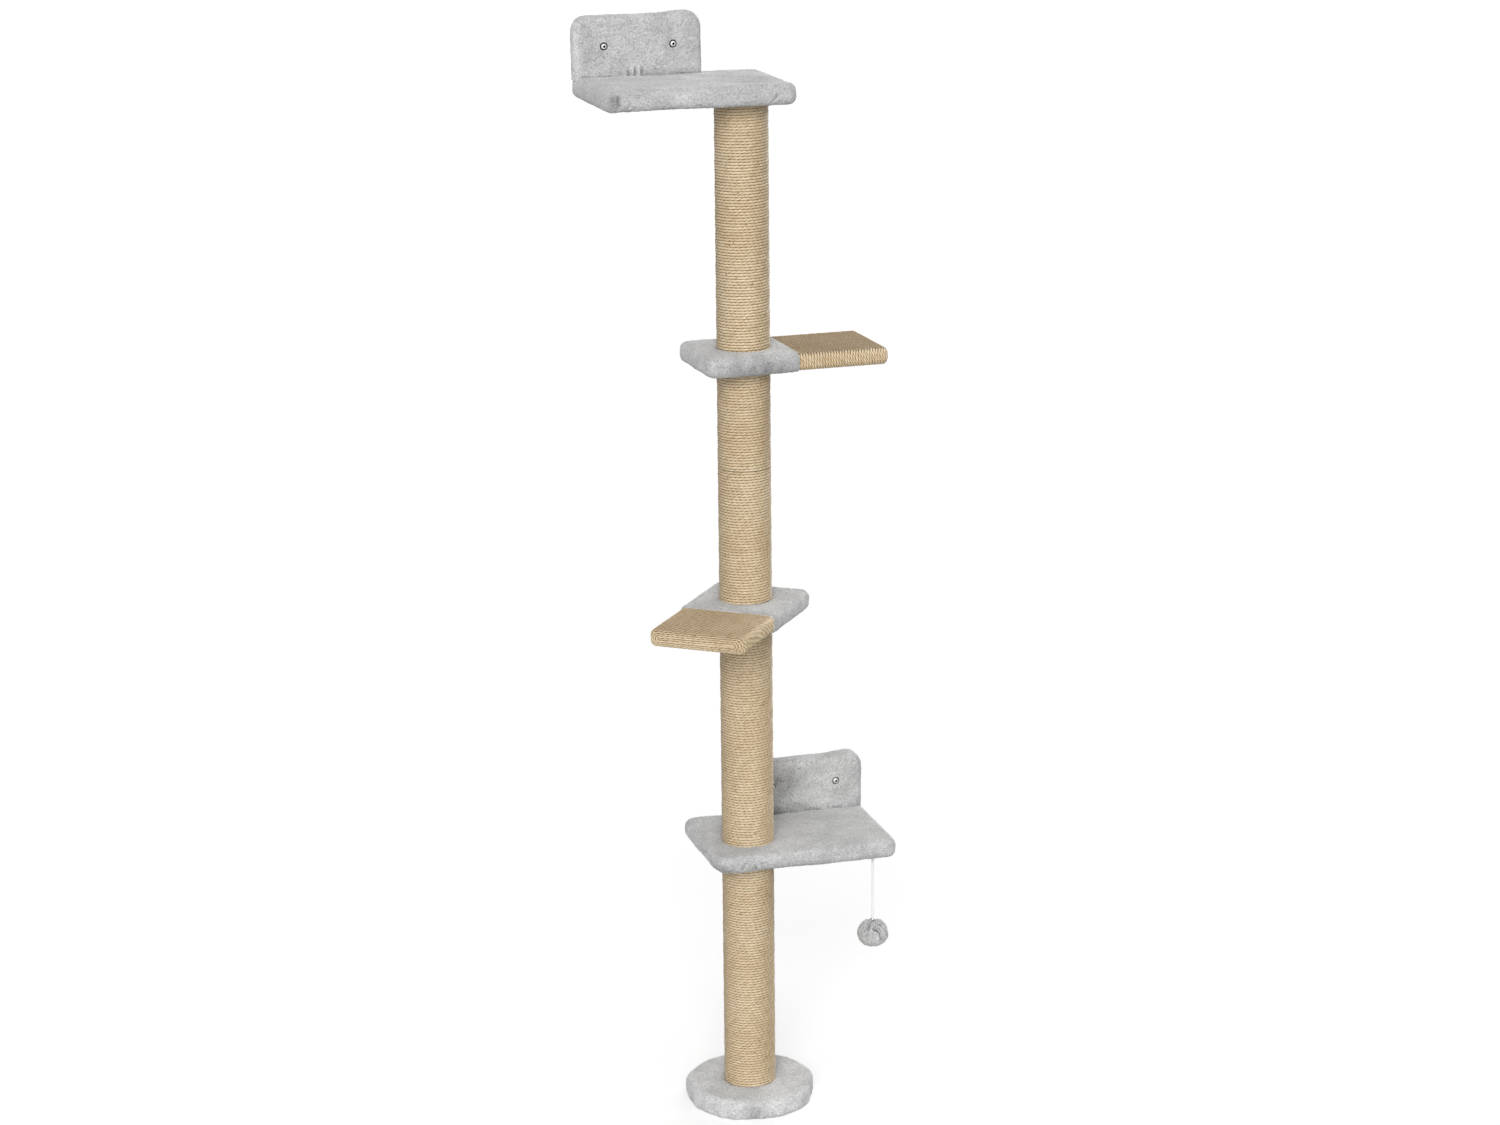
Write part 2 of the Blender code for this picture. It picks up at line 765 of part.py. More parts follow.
toy_x = high_corner[0] + pile_thickness - toy_side_inset
toy_y = low_corner[1] - pile_thickness + toy_front_inset
shelf_underside = low_shelf_z - pile_thickness
crown_z = shelf_underside - staple_drop
wire_radius = staple_wire_diameter / 2
half_staple = staple_width / 2
bend = staple_wire_diameter * staple_bend_share
staple_points = [(-half_staple, 0, staple_leg), (-half_staple, 0, bend)]
for index in range(1, 4):
    turn = math.pi / 2 * index / 4
    staple_points.append((-half_staple + bend - bend * math.cos(turn), 0, bend - bend * math.sin(turn)))
staple_points.append((-half_staple + bend, 0, 0))
staple_points += [(-x, y, z) for x, y, z in reversed(staple_points)]
toy_mount = level("toy_mount", crown_z)
toy_mount.location = (toy_x, toy_y, crown_z)
add("toy_staple", tube_mesh("toy_staple", staple_points, wire_radius, 1), zinc, toy_mount)
for side in (-1, 1):
    leg_hole = rod_cutter(
        f"staple_hole_{side + 1}", wire_radius + seat_gap, -overrun, staple_leg + seat_gap, toy_mount,
        side * half_staple,
    )
    cut(low_cover, leg_hole)
    cut(low_board, leg_hole)

# The knotted loop swings on the staple's crown
loop_swing = level("toy_loop_swing", crown_z)
loop_swing.location = (toy_x, toy_y, crown_z)
loop_tube = toy_loop_thickness / 2
loop_drop = toy_loop_radius - loop_tube - wire_radius - seat_gap
bpy.ops.mesh.primitive_torus_add(
    major_segments=toy_loop_sides,
    minor_segments=toy_loop_tube_sides,
    major_radius=toy_loop_radius,
    minor_radius=loop_tube,
)
torus = bpy.context.object
torus_mesh = torus.data
bpy.data.objects.remove(torus, do_unlink=True)
torus_mesh.name = "toy_loop"
loop = add("toy_loop", torus_mesh, elastic, loop_swing, (0, 0, -loop_drop))
loop.rotation_euler = (0, math.pi / 2, 0)

# The string and the ball swing across at the loop's lowest point
string_pivot_z = crown_z - loop_drop - toy_loop_radius
string_swing = level("toy_string_swing", string_pivot_z)
string_swing.location = (toy_x, toy_y, string_pivot_z)
string_top = -loop_tube - seat_gap
string_steps = round(string_length / (string_diameter * string_step_share))
string_points = []
for index in range(string_steps + 1):
    string_points.append((0, 0, string_top - string_length * index / string_steps))
string_curve = bpy.data.curves.new("toy_string", "CURVE")
string_curve.dimensions = "3D"
string_curve.bevel_depth = string_diameter / 2
string_curve.bevel_resolution = 2
string_curve.use_fill_caps = True
string_spline = string_curve.splines.new("POLY")
string_spline.points.add(len(string_points) - 1)
for point, place in zip(string_spline.points, string_points):
    point.co = (*place, 1.0)
string_curve.materials.append(elastic)
string = bpy.data.objects.new("toy_string", string_curve)
string.parent = string_swing
model.objects.link(string)

# The ball: plush gathered in a dimple where the string enters
ball_top = string_top - string_length - seat_gap
ball_middle = ball_top + ball_height * ball_dimple_share - ball_height / 2
ball_outline = [(0, ball_top), (ball_dimple_radius, ball_top)]
for index in range(ball_rings):
    turn = math.pi * (index + 2) / (ball_rings + 2)
    ball_outline.append(
        (ball_diameter / 2 * math.sin(turn), ball_middle + ball_height / 2 * math.cos(turn))
    )
ball_outline.append((0, ball_middle - ball_height / 2))
turned("toy_ball", ball_outline, head_sides, pile_ball, string_swing)

bpy.context.view_layer.update()
for piece in model.objects:
    if piece.type == "MESH":
        smooth(piece.data)
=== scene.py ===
"""Looks of the wall-mounted cat tree: rope wound strand by strand, pile cloth, screws and a hanging ball."""

import json
import math

import bmesh
import bpy
import numpy as np
from mathutils import Matrix, Vector


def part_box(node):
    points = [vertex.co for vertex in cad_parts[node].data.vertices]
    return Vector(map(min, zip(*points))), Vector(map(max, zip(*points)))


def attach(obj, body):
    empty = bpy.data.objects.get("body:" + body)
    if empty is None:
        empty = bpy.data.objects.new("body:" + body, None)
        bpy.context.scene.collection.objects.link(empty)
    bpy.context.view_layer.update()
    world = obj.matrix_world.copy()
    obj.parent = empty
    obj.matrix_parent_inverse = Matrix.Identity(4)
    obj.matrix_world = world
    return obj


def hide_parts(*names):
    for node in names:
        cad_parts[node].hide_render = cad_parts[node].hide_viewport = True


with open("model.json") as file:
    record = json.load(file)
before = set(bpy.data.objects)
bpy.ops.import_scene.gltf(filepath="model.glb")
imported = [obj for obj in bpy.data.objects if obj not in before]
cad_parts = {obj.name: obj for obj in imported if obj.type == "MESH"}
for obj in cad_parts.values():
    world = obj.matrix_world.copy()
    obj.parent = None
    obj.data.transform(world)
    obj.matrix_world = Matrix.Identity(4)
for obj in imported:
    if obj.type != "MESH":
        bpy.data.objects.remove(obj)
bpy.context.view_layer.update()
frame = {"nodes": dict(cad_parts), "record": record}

# Sizes in metres, the same as the solids have
ROPE_PITCH = 0.0048
ROPE_RADIUS = 0.0025
PILE = 0.0072
PRESSED = 0.0018
GAP = 0.0003
BOARD_CORNER = 0.0103
PLATE_CORNER = 0.0173
COVER_CORNER = 0.0172
PLATE_COVER_CORNER = 0.0242
STEP_EDGE_RADIUS = 0.0105
WALL_SCREW_RADIUS = 0.00225
WALL_SCREW_HEAD = (0.0046, 0.0026)
JOINING_SCREW_RADIUS = 0.0020
JOINING_SCREW_HEAD = (0.0040, 0.0024)
LOWER_STEP_TURN = math.radians(-127.5)
UPPER_STEP_TURN = math.radians(1.5)

# Sizes of the visual pieces alone: a strand's full turn, covers' rounded rims, rope bent over a step's end
ROPE_LAY = 0.0255
ROPE_STRANDS = 3
COVER_RIM = 0.0125
STEP_PLAN_RADIUS = 0.0150

# Radii of the posts and of the openings in the covers, and how far a cutter goes past what it cuts
POST_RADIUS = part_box("rope_1")[1].x
POST_SEAT = POST_RADIUS + GAP
STUD_BORE = 0.0043
BOLT_SEAT = 0.0093
JOINING_BORE = 0.0023
JOINING_DIMPLE = 0.0043
WASHER_SEAT = 0.0067
WALL_SCREW_BORE = 0.0026
PAST = 0.02
FAR_PAST = 0.05

# The camera of the picture, fitted to the posts, boards and base
CAMERA_PLACE = Vector((-1.5162, -5.1384, 2.4282))
CAMERA_BEARING = math.radians(-16.4403 - 0.0411)
CAMERA_PITCH = math.radians(15.2254)
CAMERA_ROLL = math.radians(-0.5241)
CAMERA_FOCUS = 3286.4
CAMERA_SENSOR = 36.0
PICTURE_WIDTH = 1500
PICTURE_OFFSET = (-2.4, 1.5)


def vertex_array(mesh):
    """A mesh's points, in metres."""
    points = np.empty(len(mesh.vertices) * 3)
    mesh.vertices.foreach_get("co", points)
    return points.reshape(-1, 3)


def local_box(name, turn=0.0):
    """Lowest and highest corner of a CAD node in its level's own turned frame."""
    x, y, z = vertex_array(frame["nodes"][name].data).T
    c, s = math.cos(turn), math.sin(turn)
    points = np.stack([x * c + y * s, y * c - x * s, z], -1)
    return points.min(0), points.max(0)


# Noise

CELL_PRIMES = np.array([73856093, 19349663, 83492791])
SEED_PRIME = 668265263
SCATTERS = ((15, 2246822519), (13, 3266489917))
WORD = 0xFFFFFFFF
HALF_WORD = 0xFFFF
TUFT_SCATTER = 0.42


def lattice(cells, seed):
    """A steady pseudo-random value from -1 to 1 for each whole cell."""
    mixed = np.bitwise_xor.reduce(cells * CELL_PRIMES, axis=1)
    mixed = (mixed ^ (seed * SEED_PRIME)) & WORD
    for shift, prime in SCATTERS:
        mixed = ((mixed ^ (mixed >> shift)) * prime) & WORD
    mixed = mixed ^ (mixed >> 16)
    return (mixed & HALF_WORD) / (HALF_WORD / 2) - 1.0


def noise(points, size, seed):
    """Smooth noise from -1 to 1 whose features are about this size."""
    scaled = points / size
    cells = np.floor(scaled).astype(np.int64)
    share = scaled - cells
    share = share * share * (3 - 2 * share)
    total = np.zeros(len(points))
    for corner in range(8):
        step = np.array([corner & 1, corner >> 1 & 1, corner >> 2 & 1])
        weight = np.prod(np.where(step, share, 1 - share), axis=1)
        total += weight * lattice(cells + step, seed)
    return total


def tufts(points, size, seed):
    """Distance to the nearest of scattered tuft centres, in shares of their spacing."""
    scaled = points / size
    cells = np.floor(scaled).astype(np.int64)
    nearest = np.full(len(points), 9.0)
    for number in range(27):
        there = cells + np.array([number % 3 - 1, number // 3 % 3 - 1, number // 9 - 1])
        gap = np.zeros(len(points))
        for axis in range(3):
            centre = there[:, axis] + 0.5 + TUFT_SCATTER * lattice(there, seed + axis)
            gap += (centre - scaled[:, axis]) ** 2
        nearest = np.minimum(nearest, gap)
    return np.sqrt(nearest)


def hump(value, centre, width):
    """A smooth hump of height one."""
    return np.exp(-(((value - centre) / width) ** 2))


def facing(normals, axis, sign):
    """How much each normal faces one way along an axis, from none to one."""
    return np.clip(sign * normals[:, axis], 0, 1)


# Materials

WHITE = (1.0, 1.0, 1.0)


def add_node(tree, kind, inputs, **settings):
    """A node with these settings, whose inputs take plain values or other nodes' outputs."""
    made = tree.nodes.new(kind)
    for key, value in settings.items():
        setattr(made, key, value)
    for socket, value in inputs.items():
        if isinstance(value, bpy.types.NodeSocket):
            tree.links.new(value, made.inputs[socket])
        else:
            made.inputs[socket].default_value = value
    return made


class Shader:
    """A Principled material whose nodes are added by short calls."""

    def __init__(self, name, surface):
        self.material = bpy.data.materials.new(name)
        self.material.use_nodes = True
        self.tree = self.material.node_tree
        self.surface = self.tree.nodes["Principled BSDF"]
        for socket, value in surface.items():
            self.surface.inputs[socket].default_value = value

    def place(self):
        """Coordinates fixed to the object."""
        return add_node(self.tree, "ShaderNodeTexCoord", {}).outputs["Object"]

    def layer(self, name, output="Fac"):
        """What a layer of the mesh says."""
        return add_node(self.tree, "ShaderNodeAttribute", {}, attribute_name=name).outputs[output]

    def noise(self, vector, scale, detail, roughness):
        inputs = {"Vector": vector, "Scale": scale, "Detail": detail, "Roughness": roughness}
        return add_node(self.tree, "ShaderNodeTexNoise", inputs).outputs["Fac"]

    def ramp(self, factor, stops):
        made = add_node(self.tree, "ShaderNodeValToRGB", {"Fac": factor})
        elements = made.color_ramp.elements
        while len(elements) < len(stops):
            elements.new(0.5)
        for element, (place, colour) in zip(elements, stops):
            element.position = place
            element.color = (*colour, 1.0)
        return made.outputs["Color"]

    def math(self, operation, first, second=0.0):
        return add_node(self.tree, "ShaderNodeMath", {0: first, 1: second}, operation=operation).outputs[0]

    def times(self, first, second):
        """Two colours multiplied."""
        inputs = {"Factor": 1.0, 6: first, 7: second}
        made = add_node(self.tree, "ShaderNodeMix", inputs, data_type="RGBA", blend_type="MULTIPLY")
        return made.outputs[2]

    def finish(self, colour, height, strength, distance):
        """The finished material, with this colour and with fine relief of this height."""
        inputs = {"Height": height, "Strength": strength, "Distance": distance}
        relief = add_node(self.tree, "ShaderNodeBump", inputs)
        self.tree.links.new(colour, self.surface.inputs["Base Color"])
        self.tree.links.new(relief.outputs["Normal"], self.surface.inputs["Normal"])
        return self.material


def plush_material(name, dark, light):
    """Short pile: patches where the nap leans, fine grain, painted shade and light from its shade layer, a
    rim sheen.
    """
    shader = Shader(name, {
        "Roughness": 1.0, "Sheen Weight": 0.40, "Sheen Roughness": 0.45, "Specular IOR Level": 0.1,
    })
    place = shader.place()
    patches = shader.noise(place, 24.0, 3.0, 0.6)
    lean = shader.noise(place, 85.0, 2.0, 0.55)
    grain = shader.noise(place, 400.0, 2.0, 0.75)
    ends = shader.noise(place, 850.0, 1.0, 0.6)
    colour = shader.ramp(patches, [(0.32, dark), (0.68, light)])
    specks = (lean, 0.34, 0.64, 0.92), (grain, 0.36, 0.58, 0.66), (ends, 0.34, 0.60, 0.70)
    for factor, low, high, deep in specks:
        colour = shader.times(colour, shader.ramp(factor, [(low, (deep, deep, deep)), (high, WHITE)]))
    # Painted shade in hollows, folds and spots, and painted light on some faces, from the mesh's shade layer
    colour = shader.times(colour, shader.math("SUBTRACT", 1.0, shader.layer("shade")))
    height = shader.math("ADD", grain, shader.math("MULTIPLY", ends, 0.5))
    return shader.finish(colour, height, 0.8, 0.0012)


def rope_material(name):
    """Twisted natural fibre: strands of their own tone, pale fibres along them, painted shade between
    strands and turns.
    """
    shader = Shader(name, {"Roughness": 0.42, "Specular IOR Level": 0.9})
    place = shader.place()
    crown = shader.layer("crown")
    worn = shader.layer("worn")
    parts = add_node(shader.tree, "ShaderNodeSeparateXYZ", {0: shader.layer("rope", "Vector")})
    along, twist, turn = parts.outputs
    lobe = shader.math("ABSOLUTE", shader.math("COSINE", shader.math("MULTIPLY", twist, ROPE_STRANDS / 2)))
    stretched = {
        0: shader.math("MULTIPLY", along, 70.0),
        1: shader.math("MULTIPLY", twist, 4.5),
        2: shader.math("MULTIPLY", turn, 3.7),
    }
    lined = add_node(shader.tree, "ShaderNodeCombineXYZ", stretched).outputs[0]
    # Painted shade in the grooves between turns and, more faintly, between strands
    gap = shader.math("ADD", shader.math("MULTIPLY", crown, 0.80), shader.math("MULTIPLY", lobe, 0.12))
    # More painted shade in the grooves on top, less round the sides
    gap = shader.math("SUBTRACT", gap, shader.math("MULTIPLY", worn, 0.28))
    # Less painted shade between strands round the sides
    tight = shader.math("MULTIPLY", shader.math("MINIMUM", worn, 0.0), 0.32)
    between = shader.math("ADD", lobe, tight)
    fibres = shader.noise(lined, 1.0, 3.0, 0.7)
    strand = shader.noise(lined, 0.22, 1.0, 0.5)
    drift = shader.noise(place, 11.0, 2.0, 0.5)
    spots = shader.noise(place, 210.0, 1.0, 0.5)
    tones = [(0.28, (0.50, 0.36, 0.20)), (0.5, (0.87, 0.72, 0.49)), (0.74, (1.0, 0.935, 0.76))]
    colour = shader.ramp(fibres, tones)
    layers = (
        (strand, [(0.34, (0.80, 0.75, 0.68)), (0.56, WHITE)]),
        (drift, [(0.35, (0.92, 0.89, 0.84)), (0.65, WHITE)]),
        (spots, [(0.71, WHITE), (0.75, (0.42, 0.34, 0.25))]),
        # Painted shade between strands
        (between, [(0.02, (0.42, 0.32, 0.21)), (0.20, (0.90, 0.85, 0.76)), (0.42, WHITE)]),
        # Painted shade in the grooves between turns
        (gap, [(0.03, (0.07, 0.034, 0.013)), (0.32, (0.36, 0.23, 0.115)), (0.56, WHITE)]),
        # Painted shade on top of the rope
        (worn, [(0.0, WHITE), (1.0, (0.91, 0.91, 0.90))]),
    )
    for factor, stops in layers:
        colour = shader.times(colour, shader.ramp(factor, stops))
    height = shader.math("ADD", fibres, shader.math("MULTIPLY", lobe, 0.7))
    return shader.finish(colour, height, 0.8, 0.0009)


def grained_material(name, dark, light, scale, roughness, metallic, specular, relief):
    """A plain stuff with a fine grain: board, card, plastic, plated steel or elastic."""
    shader = Shader(name, {"Roughness": roughness, "Metallic": metallic, "Specular IOR Level": specular})
    grain = shader.noise(shader.place(), scale, 4.0, 0.6)
    return shader.finish(shader.ramp(grain, [(0.3, dark), (0.7, light)]), grain, 0.4, relief)


# By slot: name, dark and light colour, scale, roughness, share of metal, gloss and depth of the grain
GRAINED = {
    "chipboard": ("chipboard", (0.30, 0.19, 0.10), (0.62, 0.46, 0.28), 380.0, 0.8, 0.0, 0.5, 0.0003),
    "cardboard": ("cardboard", (0.36, 0.25, 0.15), (0.48, 0.35, 0.21), 140.0, 0.85, 0.0, 0.5, 0.0003),
    "plastic": ("black_plastic", (0.006, 0.008, 0.007), (0.014, 0.017, 0.016), 700.0, 0.8, 0.0, 0.1, 0.0003),
    "zinc": ("zinc_plate", (0.88, 0.88, 0.87), (0.96, 0.96, 0.95), 900.0, 0.5, 0.6, 0.5, 0.00005),
    "elastic": ("white_elastic", (0.84, 0.84, 0.84), (0.90, 0.90, 0.90), 1400.0, 0.8, 0.0, 0.5, 0.00002),
    # Painted shade: a near-black copy of the zinc for the screws' cross recesses
    "shaded_zinc": ("shaded_zinc", (0.01, 0.01, 0.01), (0.03, 0.03, 0.03), 900.0, 0.9, 0.0, 0.1, 0.0003),
}
MATERIALS = {
    "grey_plush": plush_material("grey_plush_pile", (0.61, 0.61, 0.61), (0.79, 0.79, 0.79)),
    "ball_plush": plush_material("ball_plush_pile", (0.61, 0.61, 0.61), (0.80, 0.80, 0.80)),
    "rope": rope_material("natural_rope"),
}
for slot_name, stuff in GRAINED.items():
    MATERIALS[slot_name] = grained_material(*stuff)


# Meshes

def linked(name, data):
    """A new object in the scene."""
    made = bpy.data.objects.new(name, data)
    bpy.context.scene.collection.objects.link(made)
    return made


def from_form(name, work):
    """An object of a finished bmesh."""
    mesh = bpy.data.meshes.new(name)
    work.to_mesh(mesh)
    work.free()
    return linked(name, mesh)


def finish_as(made, slot, *more_materials):
    """The piece gets its slot's material and smooth shading."""
    mesh = made.data
    mesh.materials.clear()
    for material in (slot, *more_materials):
        mesh.materials.append(MATERIALS[material])
    mesh.shade_smooth()
    return made


def place_on(piece, body, *nodes):
    """The piece rides on this body and stands for these CAD nodes."""
    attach(piece, body)
    if nodes:
        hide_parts(*nodes)
    return piece


def set_vertices(mesh, points):
    mesh.vertices.foreach_set("co", points.reshape(-1))
    mesh.update()


def add_layer(mesh, name, kind, domain, values):
    """A named layer of numbers or vectors on a mesh's points or corners."""
    field = "vector" if kind == "FLOAT_VECTOR" else "value"
    layer = mesh.attributes.new(name, kind, domain)
    layer.data.foreach_set(field, values.astype(np.float32).reshape(-1))


def ring_faces(columns, rings, closed=False):
    """Faces between rings of points, each joined to the next one."""
    faces = []
    for number in range(rings if closed else rings - 1):
        near = number * columns
        far = (number + 1) % rings * columns
        for column in range(columns):
            following = (column + 1) % columns
            faces.append((near + column, far + column, far + following, near + following))
    return faces


def weld(mesh, within):
    """Join points that lie together, and turn every face outwards."""
    work = bmesh.new()
    work.from_mesh(mesh)
    bmesh.ops.remove_doubles(work, verts=work.verts, dist=within)
    bmesh.ops.recalc_face_normals(work, faces=work.faces)
    work.to_mesh(mesh)
    work.free()


# Rope, wound strand by strand over a surface

# Angles round the rope's section, from the groove below its turn to near the groove above
ACROSS = np.radians([-90.0, -52.0, -18.0, 18.0, 52.0])
STRAND_DEPTH = 0.19
STRAND_JITTER = 0.25
GROOVE_LIFT = 0.25
GROOVE_SWAY = 0.00035
SIDE_GROOVE_LIGHT = 0.60


def strand_lobe(angle, phase):
    """One on the crown of a strand and none where two strands meet."""
    return np.abs(np.cos(ROPE_STRANDS / 2 * (angle - phase)))


def at_corners(values):
    """Each face's values at its four corners."""
    return np.stack([values[:-1, :-1], values[:-1, 1:], values[1:, 1:], values[1:, :-1]], -1)


def along_row(values):
    """The same, with the values of the lower corners for the upper ones too."""
    return np.stack([values[:-1, :-1], values[:-1, 1:], values[:-1, 1:], values[:-1, :-1]], -1)


def wind(name, surface, arc_shares, turns, lengths, seed, worn=False):
    """Rope wound close over a surface.

    surface gives, for arrays of winding distance and column, the point on the rope's crest, the way out
    and the way across. arc_shares are the columns' shares of one turn, and lengths the rope in each turn.
    """
    columns = len(arc_shares)
    rows = len(ACROSS)
    row = np.arange(turns * rows + 1)
    turn_number = row // rows
    row_angle = ACROSS[row % rows][:, None]
    shares = np.append(arc_shares, 1.0)
    t = (turn_number + (np.sin(row_angle[:, 0]) + 1) / 2)[:, None] + shares[None, :]
    angle = np.broadcast_to(row_angle, t.shape)
    rope_before = np.concatenate([[0.0], np.cumsum(lengths)])
    jitters = np.cumsum(np.random.default_rng(seed).normal(0, STRAND_JITTER, turns + 1))

    def twist_at(along):
        """The rope's length up to here, and how far its strands have turned."""
        length = np.interp(along, np.arange(turns + 1), rope_before)
        return length, math.tau * length / ROPE_LAY + np.interp(along, np.arange(turns + 1), jitters)

    along_turn = np.clip(turn_number[:, None] + shares[None, :], 0, turns)
    length_at, phase = twist_at(along_turn)
    phase_before = twist_at(np.clip(along_turn - 1, 0, turns))[1]
    radius = ROPE_RADIUS * (1 - STRAND_DEPTH * (1 - strand_lobe(angle, phase)))
    groove = np.isclose(angle, -math.pi / 2)
    crest, out, across = surface(t, np.broadcast_to(np.arange(columns + 1)[None, :], t.shape))
    lift = np.where(groove, GROOVE_LIFT, np.cos(angle)) * radius
    # The groove sways towards the turn whose strand lies lower there
    sway = GROOVE_SWAY * (strand_lobe(math.pi / 2, phase_before) - strand_lobe(-math.pi / 2, phase))
    side = np.where(groove, sway, np.sin(angle) * (radius - ROPE_RADIUS) + sway * np.sin(angle) ** 2 * 0.5)
    points = crest - out * ROPE_RADIUS + out * lift[..., None] + across * side[..., None]
    # Last column of a row is the first column of the same row one turn on
    index = np.arange(t.size).reshape(t.shape)
    target = index.copy()
    target[:-rows, -1] = index[rows:, 0]
    mesh = bpy.data.meshes.new(name)
    mesh.from_pydata(points.reshape(-1, 3).tolist(), [], at_corners(target).reshape(-1, 4).tolist())
    # Corner values stay on their own turn of rope up to the groove
    near = np.append(ACROSS, math.pi / 2)
    row_in_turn = row[:-1] % rows
    shape = (len(row) - 1, columns)
    low_angle = np.broadcast_to(near[row_in_turn][:, None], shape)
    high_angle = np.broadcast_to(near[row_in_turn + 1][:, None], shape)
    corner_angle = np.stack([low_angle, low_angle, high_angle, high_angle], -1)
    steps = np.stack([shares[:-1], shares[1:], shares[1:], shares[:-1]], -1)
    corner_turn = turn_number[:-1, None, None] + steps[None, :, :]
    rope = np.stack([along_row(length_at), corner_angle - along_row(phase), corner_turn], -1)
    add_layer(mesh, "rope", "FLOAT_VECTOR", "CORNER", rope)
    # The crown layer places the painted shade in the grooves between turns
    add_layer(mesh, "crown", "FLOAT", "CORNER", np.cos(corner_angle))
    if worn:
        # Painted shade on top of the rope and in its grooves there, and less painted shade in its gaps round
        # the sides
        rope_top_shade = np.clip(out[..., 2], 0, 1) ** 2 - SIDE_GROOVE_LIGHT * out[..., 1] ** 2
        add_layer(mesh, "worn", "FLOAT", "CORNER", at_corners(rope_top_shade))
    return mesh


def close_winding(mesh, inner_ring, inner_far=None):
    """Weld the wound sheet and turn its open edges in to the core it is wound on."""
    work = bmesh.new()
    work.from_mesh(mesh)
    loose = [v for v in work.verts if not v.link_faces]
    bmesh.ops.delete(work, geom=loose, context="VERTS")
    bmesh.ops.remove_doubles(work, verts=work.verts, dist=1e-6)
    bmesh.ops.dissolve_degenerate(work, dist=2e-6, edges=work.edges)

    def turn_in(edges, place_of):
        """Draw open edges on to where place_of says, and give the new open edges."""
        made = bmesh.ops.extrude_edge_only(work, edges=edges)["geom"]
        for item in made:
            if isinstance(item, bmesh.types.BMVert):
                item.co = place_of(item.co)
        return [e for e in made if isinstance(e, bmesh.types.BMEdge) and e.is_boundary]

    edges = turn_in([e for e in work.edges if e.is_boundary], inner_ring)
    if inner_far is None:
        bmesh.ops.bridge_loops(work, edges=edges)
    else:
        bmesh.ops.contextual_create(work, geom=turn_in(edges, inner_far))
    bmesh.ops.recalc_face_normals(work, faces=work.faces)
    work.to_mesh(mesh)
    work.free()


POST_COLUMNS = 200


def post_winding(name, node, seed, start_angle):
    """Rope wound round a post, over the height of its CAD solid."""
    low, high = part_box(node)
    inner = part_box("post_1_tube")[1].x + GAP
    turns = math.ceil((high.z - low.z) / ROPE_PITCH) + 2

    def surface(t, column):
        turn = math.tau * column / POST_COLUMNS + start_angle
        out = np.stack([np.cos(turn), np.sin(turn), np.zeros_like(turn)], -1)
        wobble = 0.00025 * np.sin(turn * 2 + t * 0.7 + seed) + 0.0002 * np.sin(t * 2.3 + seed)
        crest = out * (POST_RADIUS + wobble)[..., None]
        crest[..., 2] = np.clip(low.z + ROPE_PITCH * (t - 1.0), low.z, high.z)
        across = np.zeros_like(out)
        across[..., 2] = 1.0
        return crest, out, across

    def to_core(place):
        flat = Vector((place.x, place.y)).normalized() * inner
        return Vector((flat.x, flat.y, place.z))

    shares = np.arange(POST_COLUMNS) / POST_COLUMNS
    mesh = wind(name, surface, shares, turns, np.full(turns, math.tau * POST_RADIUS), seed)
    points = vertex_array(mesh)
    points[:, 2] = np.clip(points[:, 2], low.z, high.z)
    set_vertices(mesh, points)
    close_winding(mesh, to_core)
    return place_on(finish_as(linked(name, mesh), "rope"), "tree", node)


# Columns of a step's winding: along its top, round a corner, down its side, round the next corner, and again
STEP_COLUMNS = (62, 10, 8, 10) * 2


def rounded_outline(wide, tall, radius, kind, part):
    """Point and normal on a rounded rectangle at a column; it starts on top and turns towards -Y."""
    flat_y = wide - radius
    flat_z = tall - radius
    c, s = np.cos(math.pi / 2 * part), np.sin(math.pi / 2 * part)
    none = 0 * part
    stretches = (
        (flat_y * (1 - 2 * part), tall, none, none + 1),
        (-flat_y - radius * s, flat_z + radius * c, -s, c),
        (-wide, flat_z * (1 - 2 * part), none - 1, none),
        (-flat_y - radius * c, -flat_z - radius * s, -c, -s),
    )
    found = np.zeros((4, *wide.shape))
    for number, values in enumerate(stretches):
        for place, value in enumerate(values):
            found[place] = np.where(kind % 4 == number, value, found[place])
    # The second half is the first one turned half round
    return np.where(kind < 4, 1, -1) * found


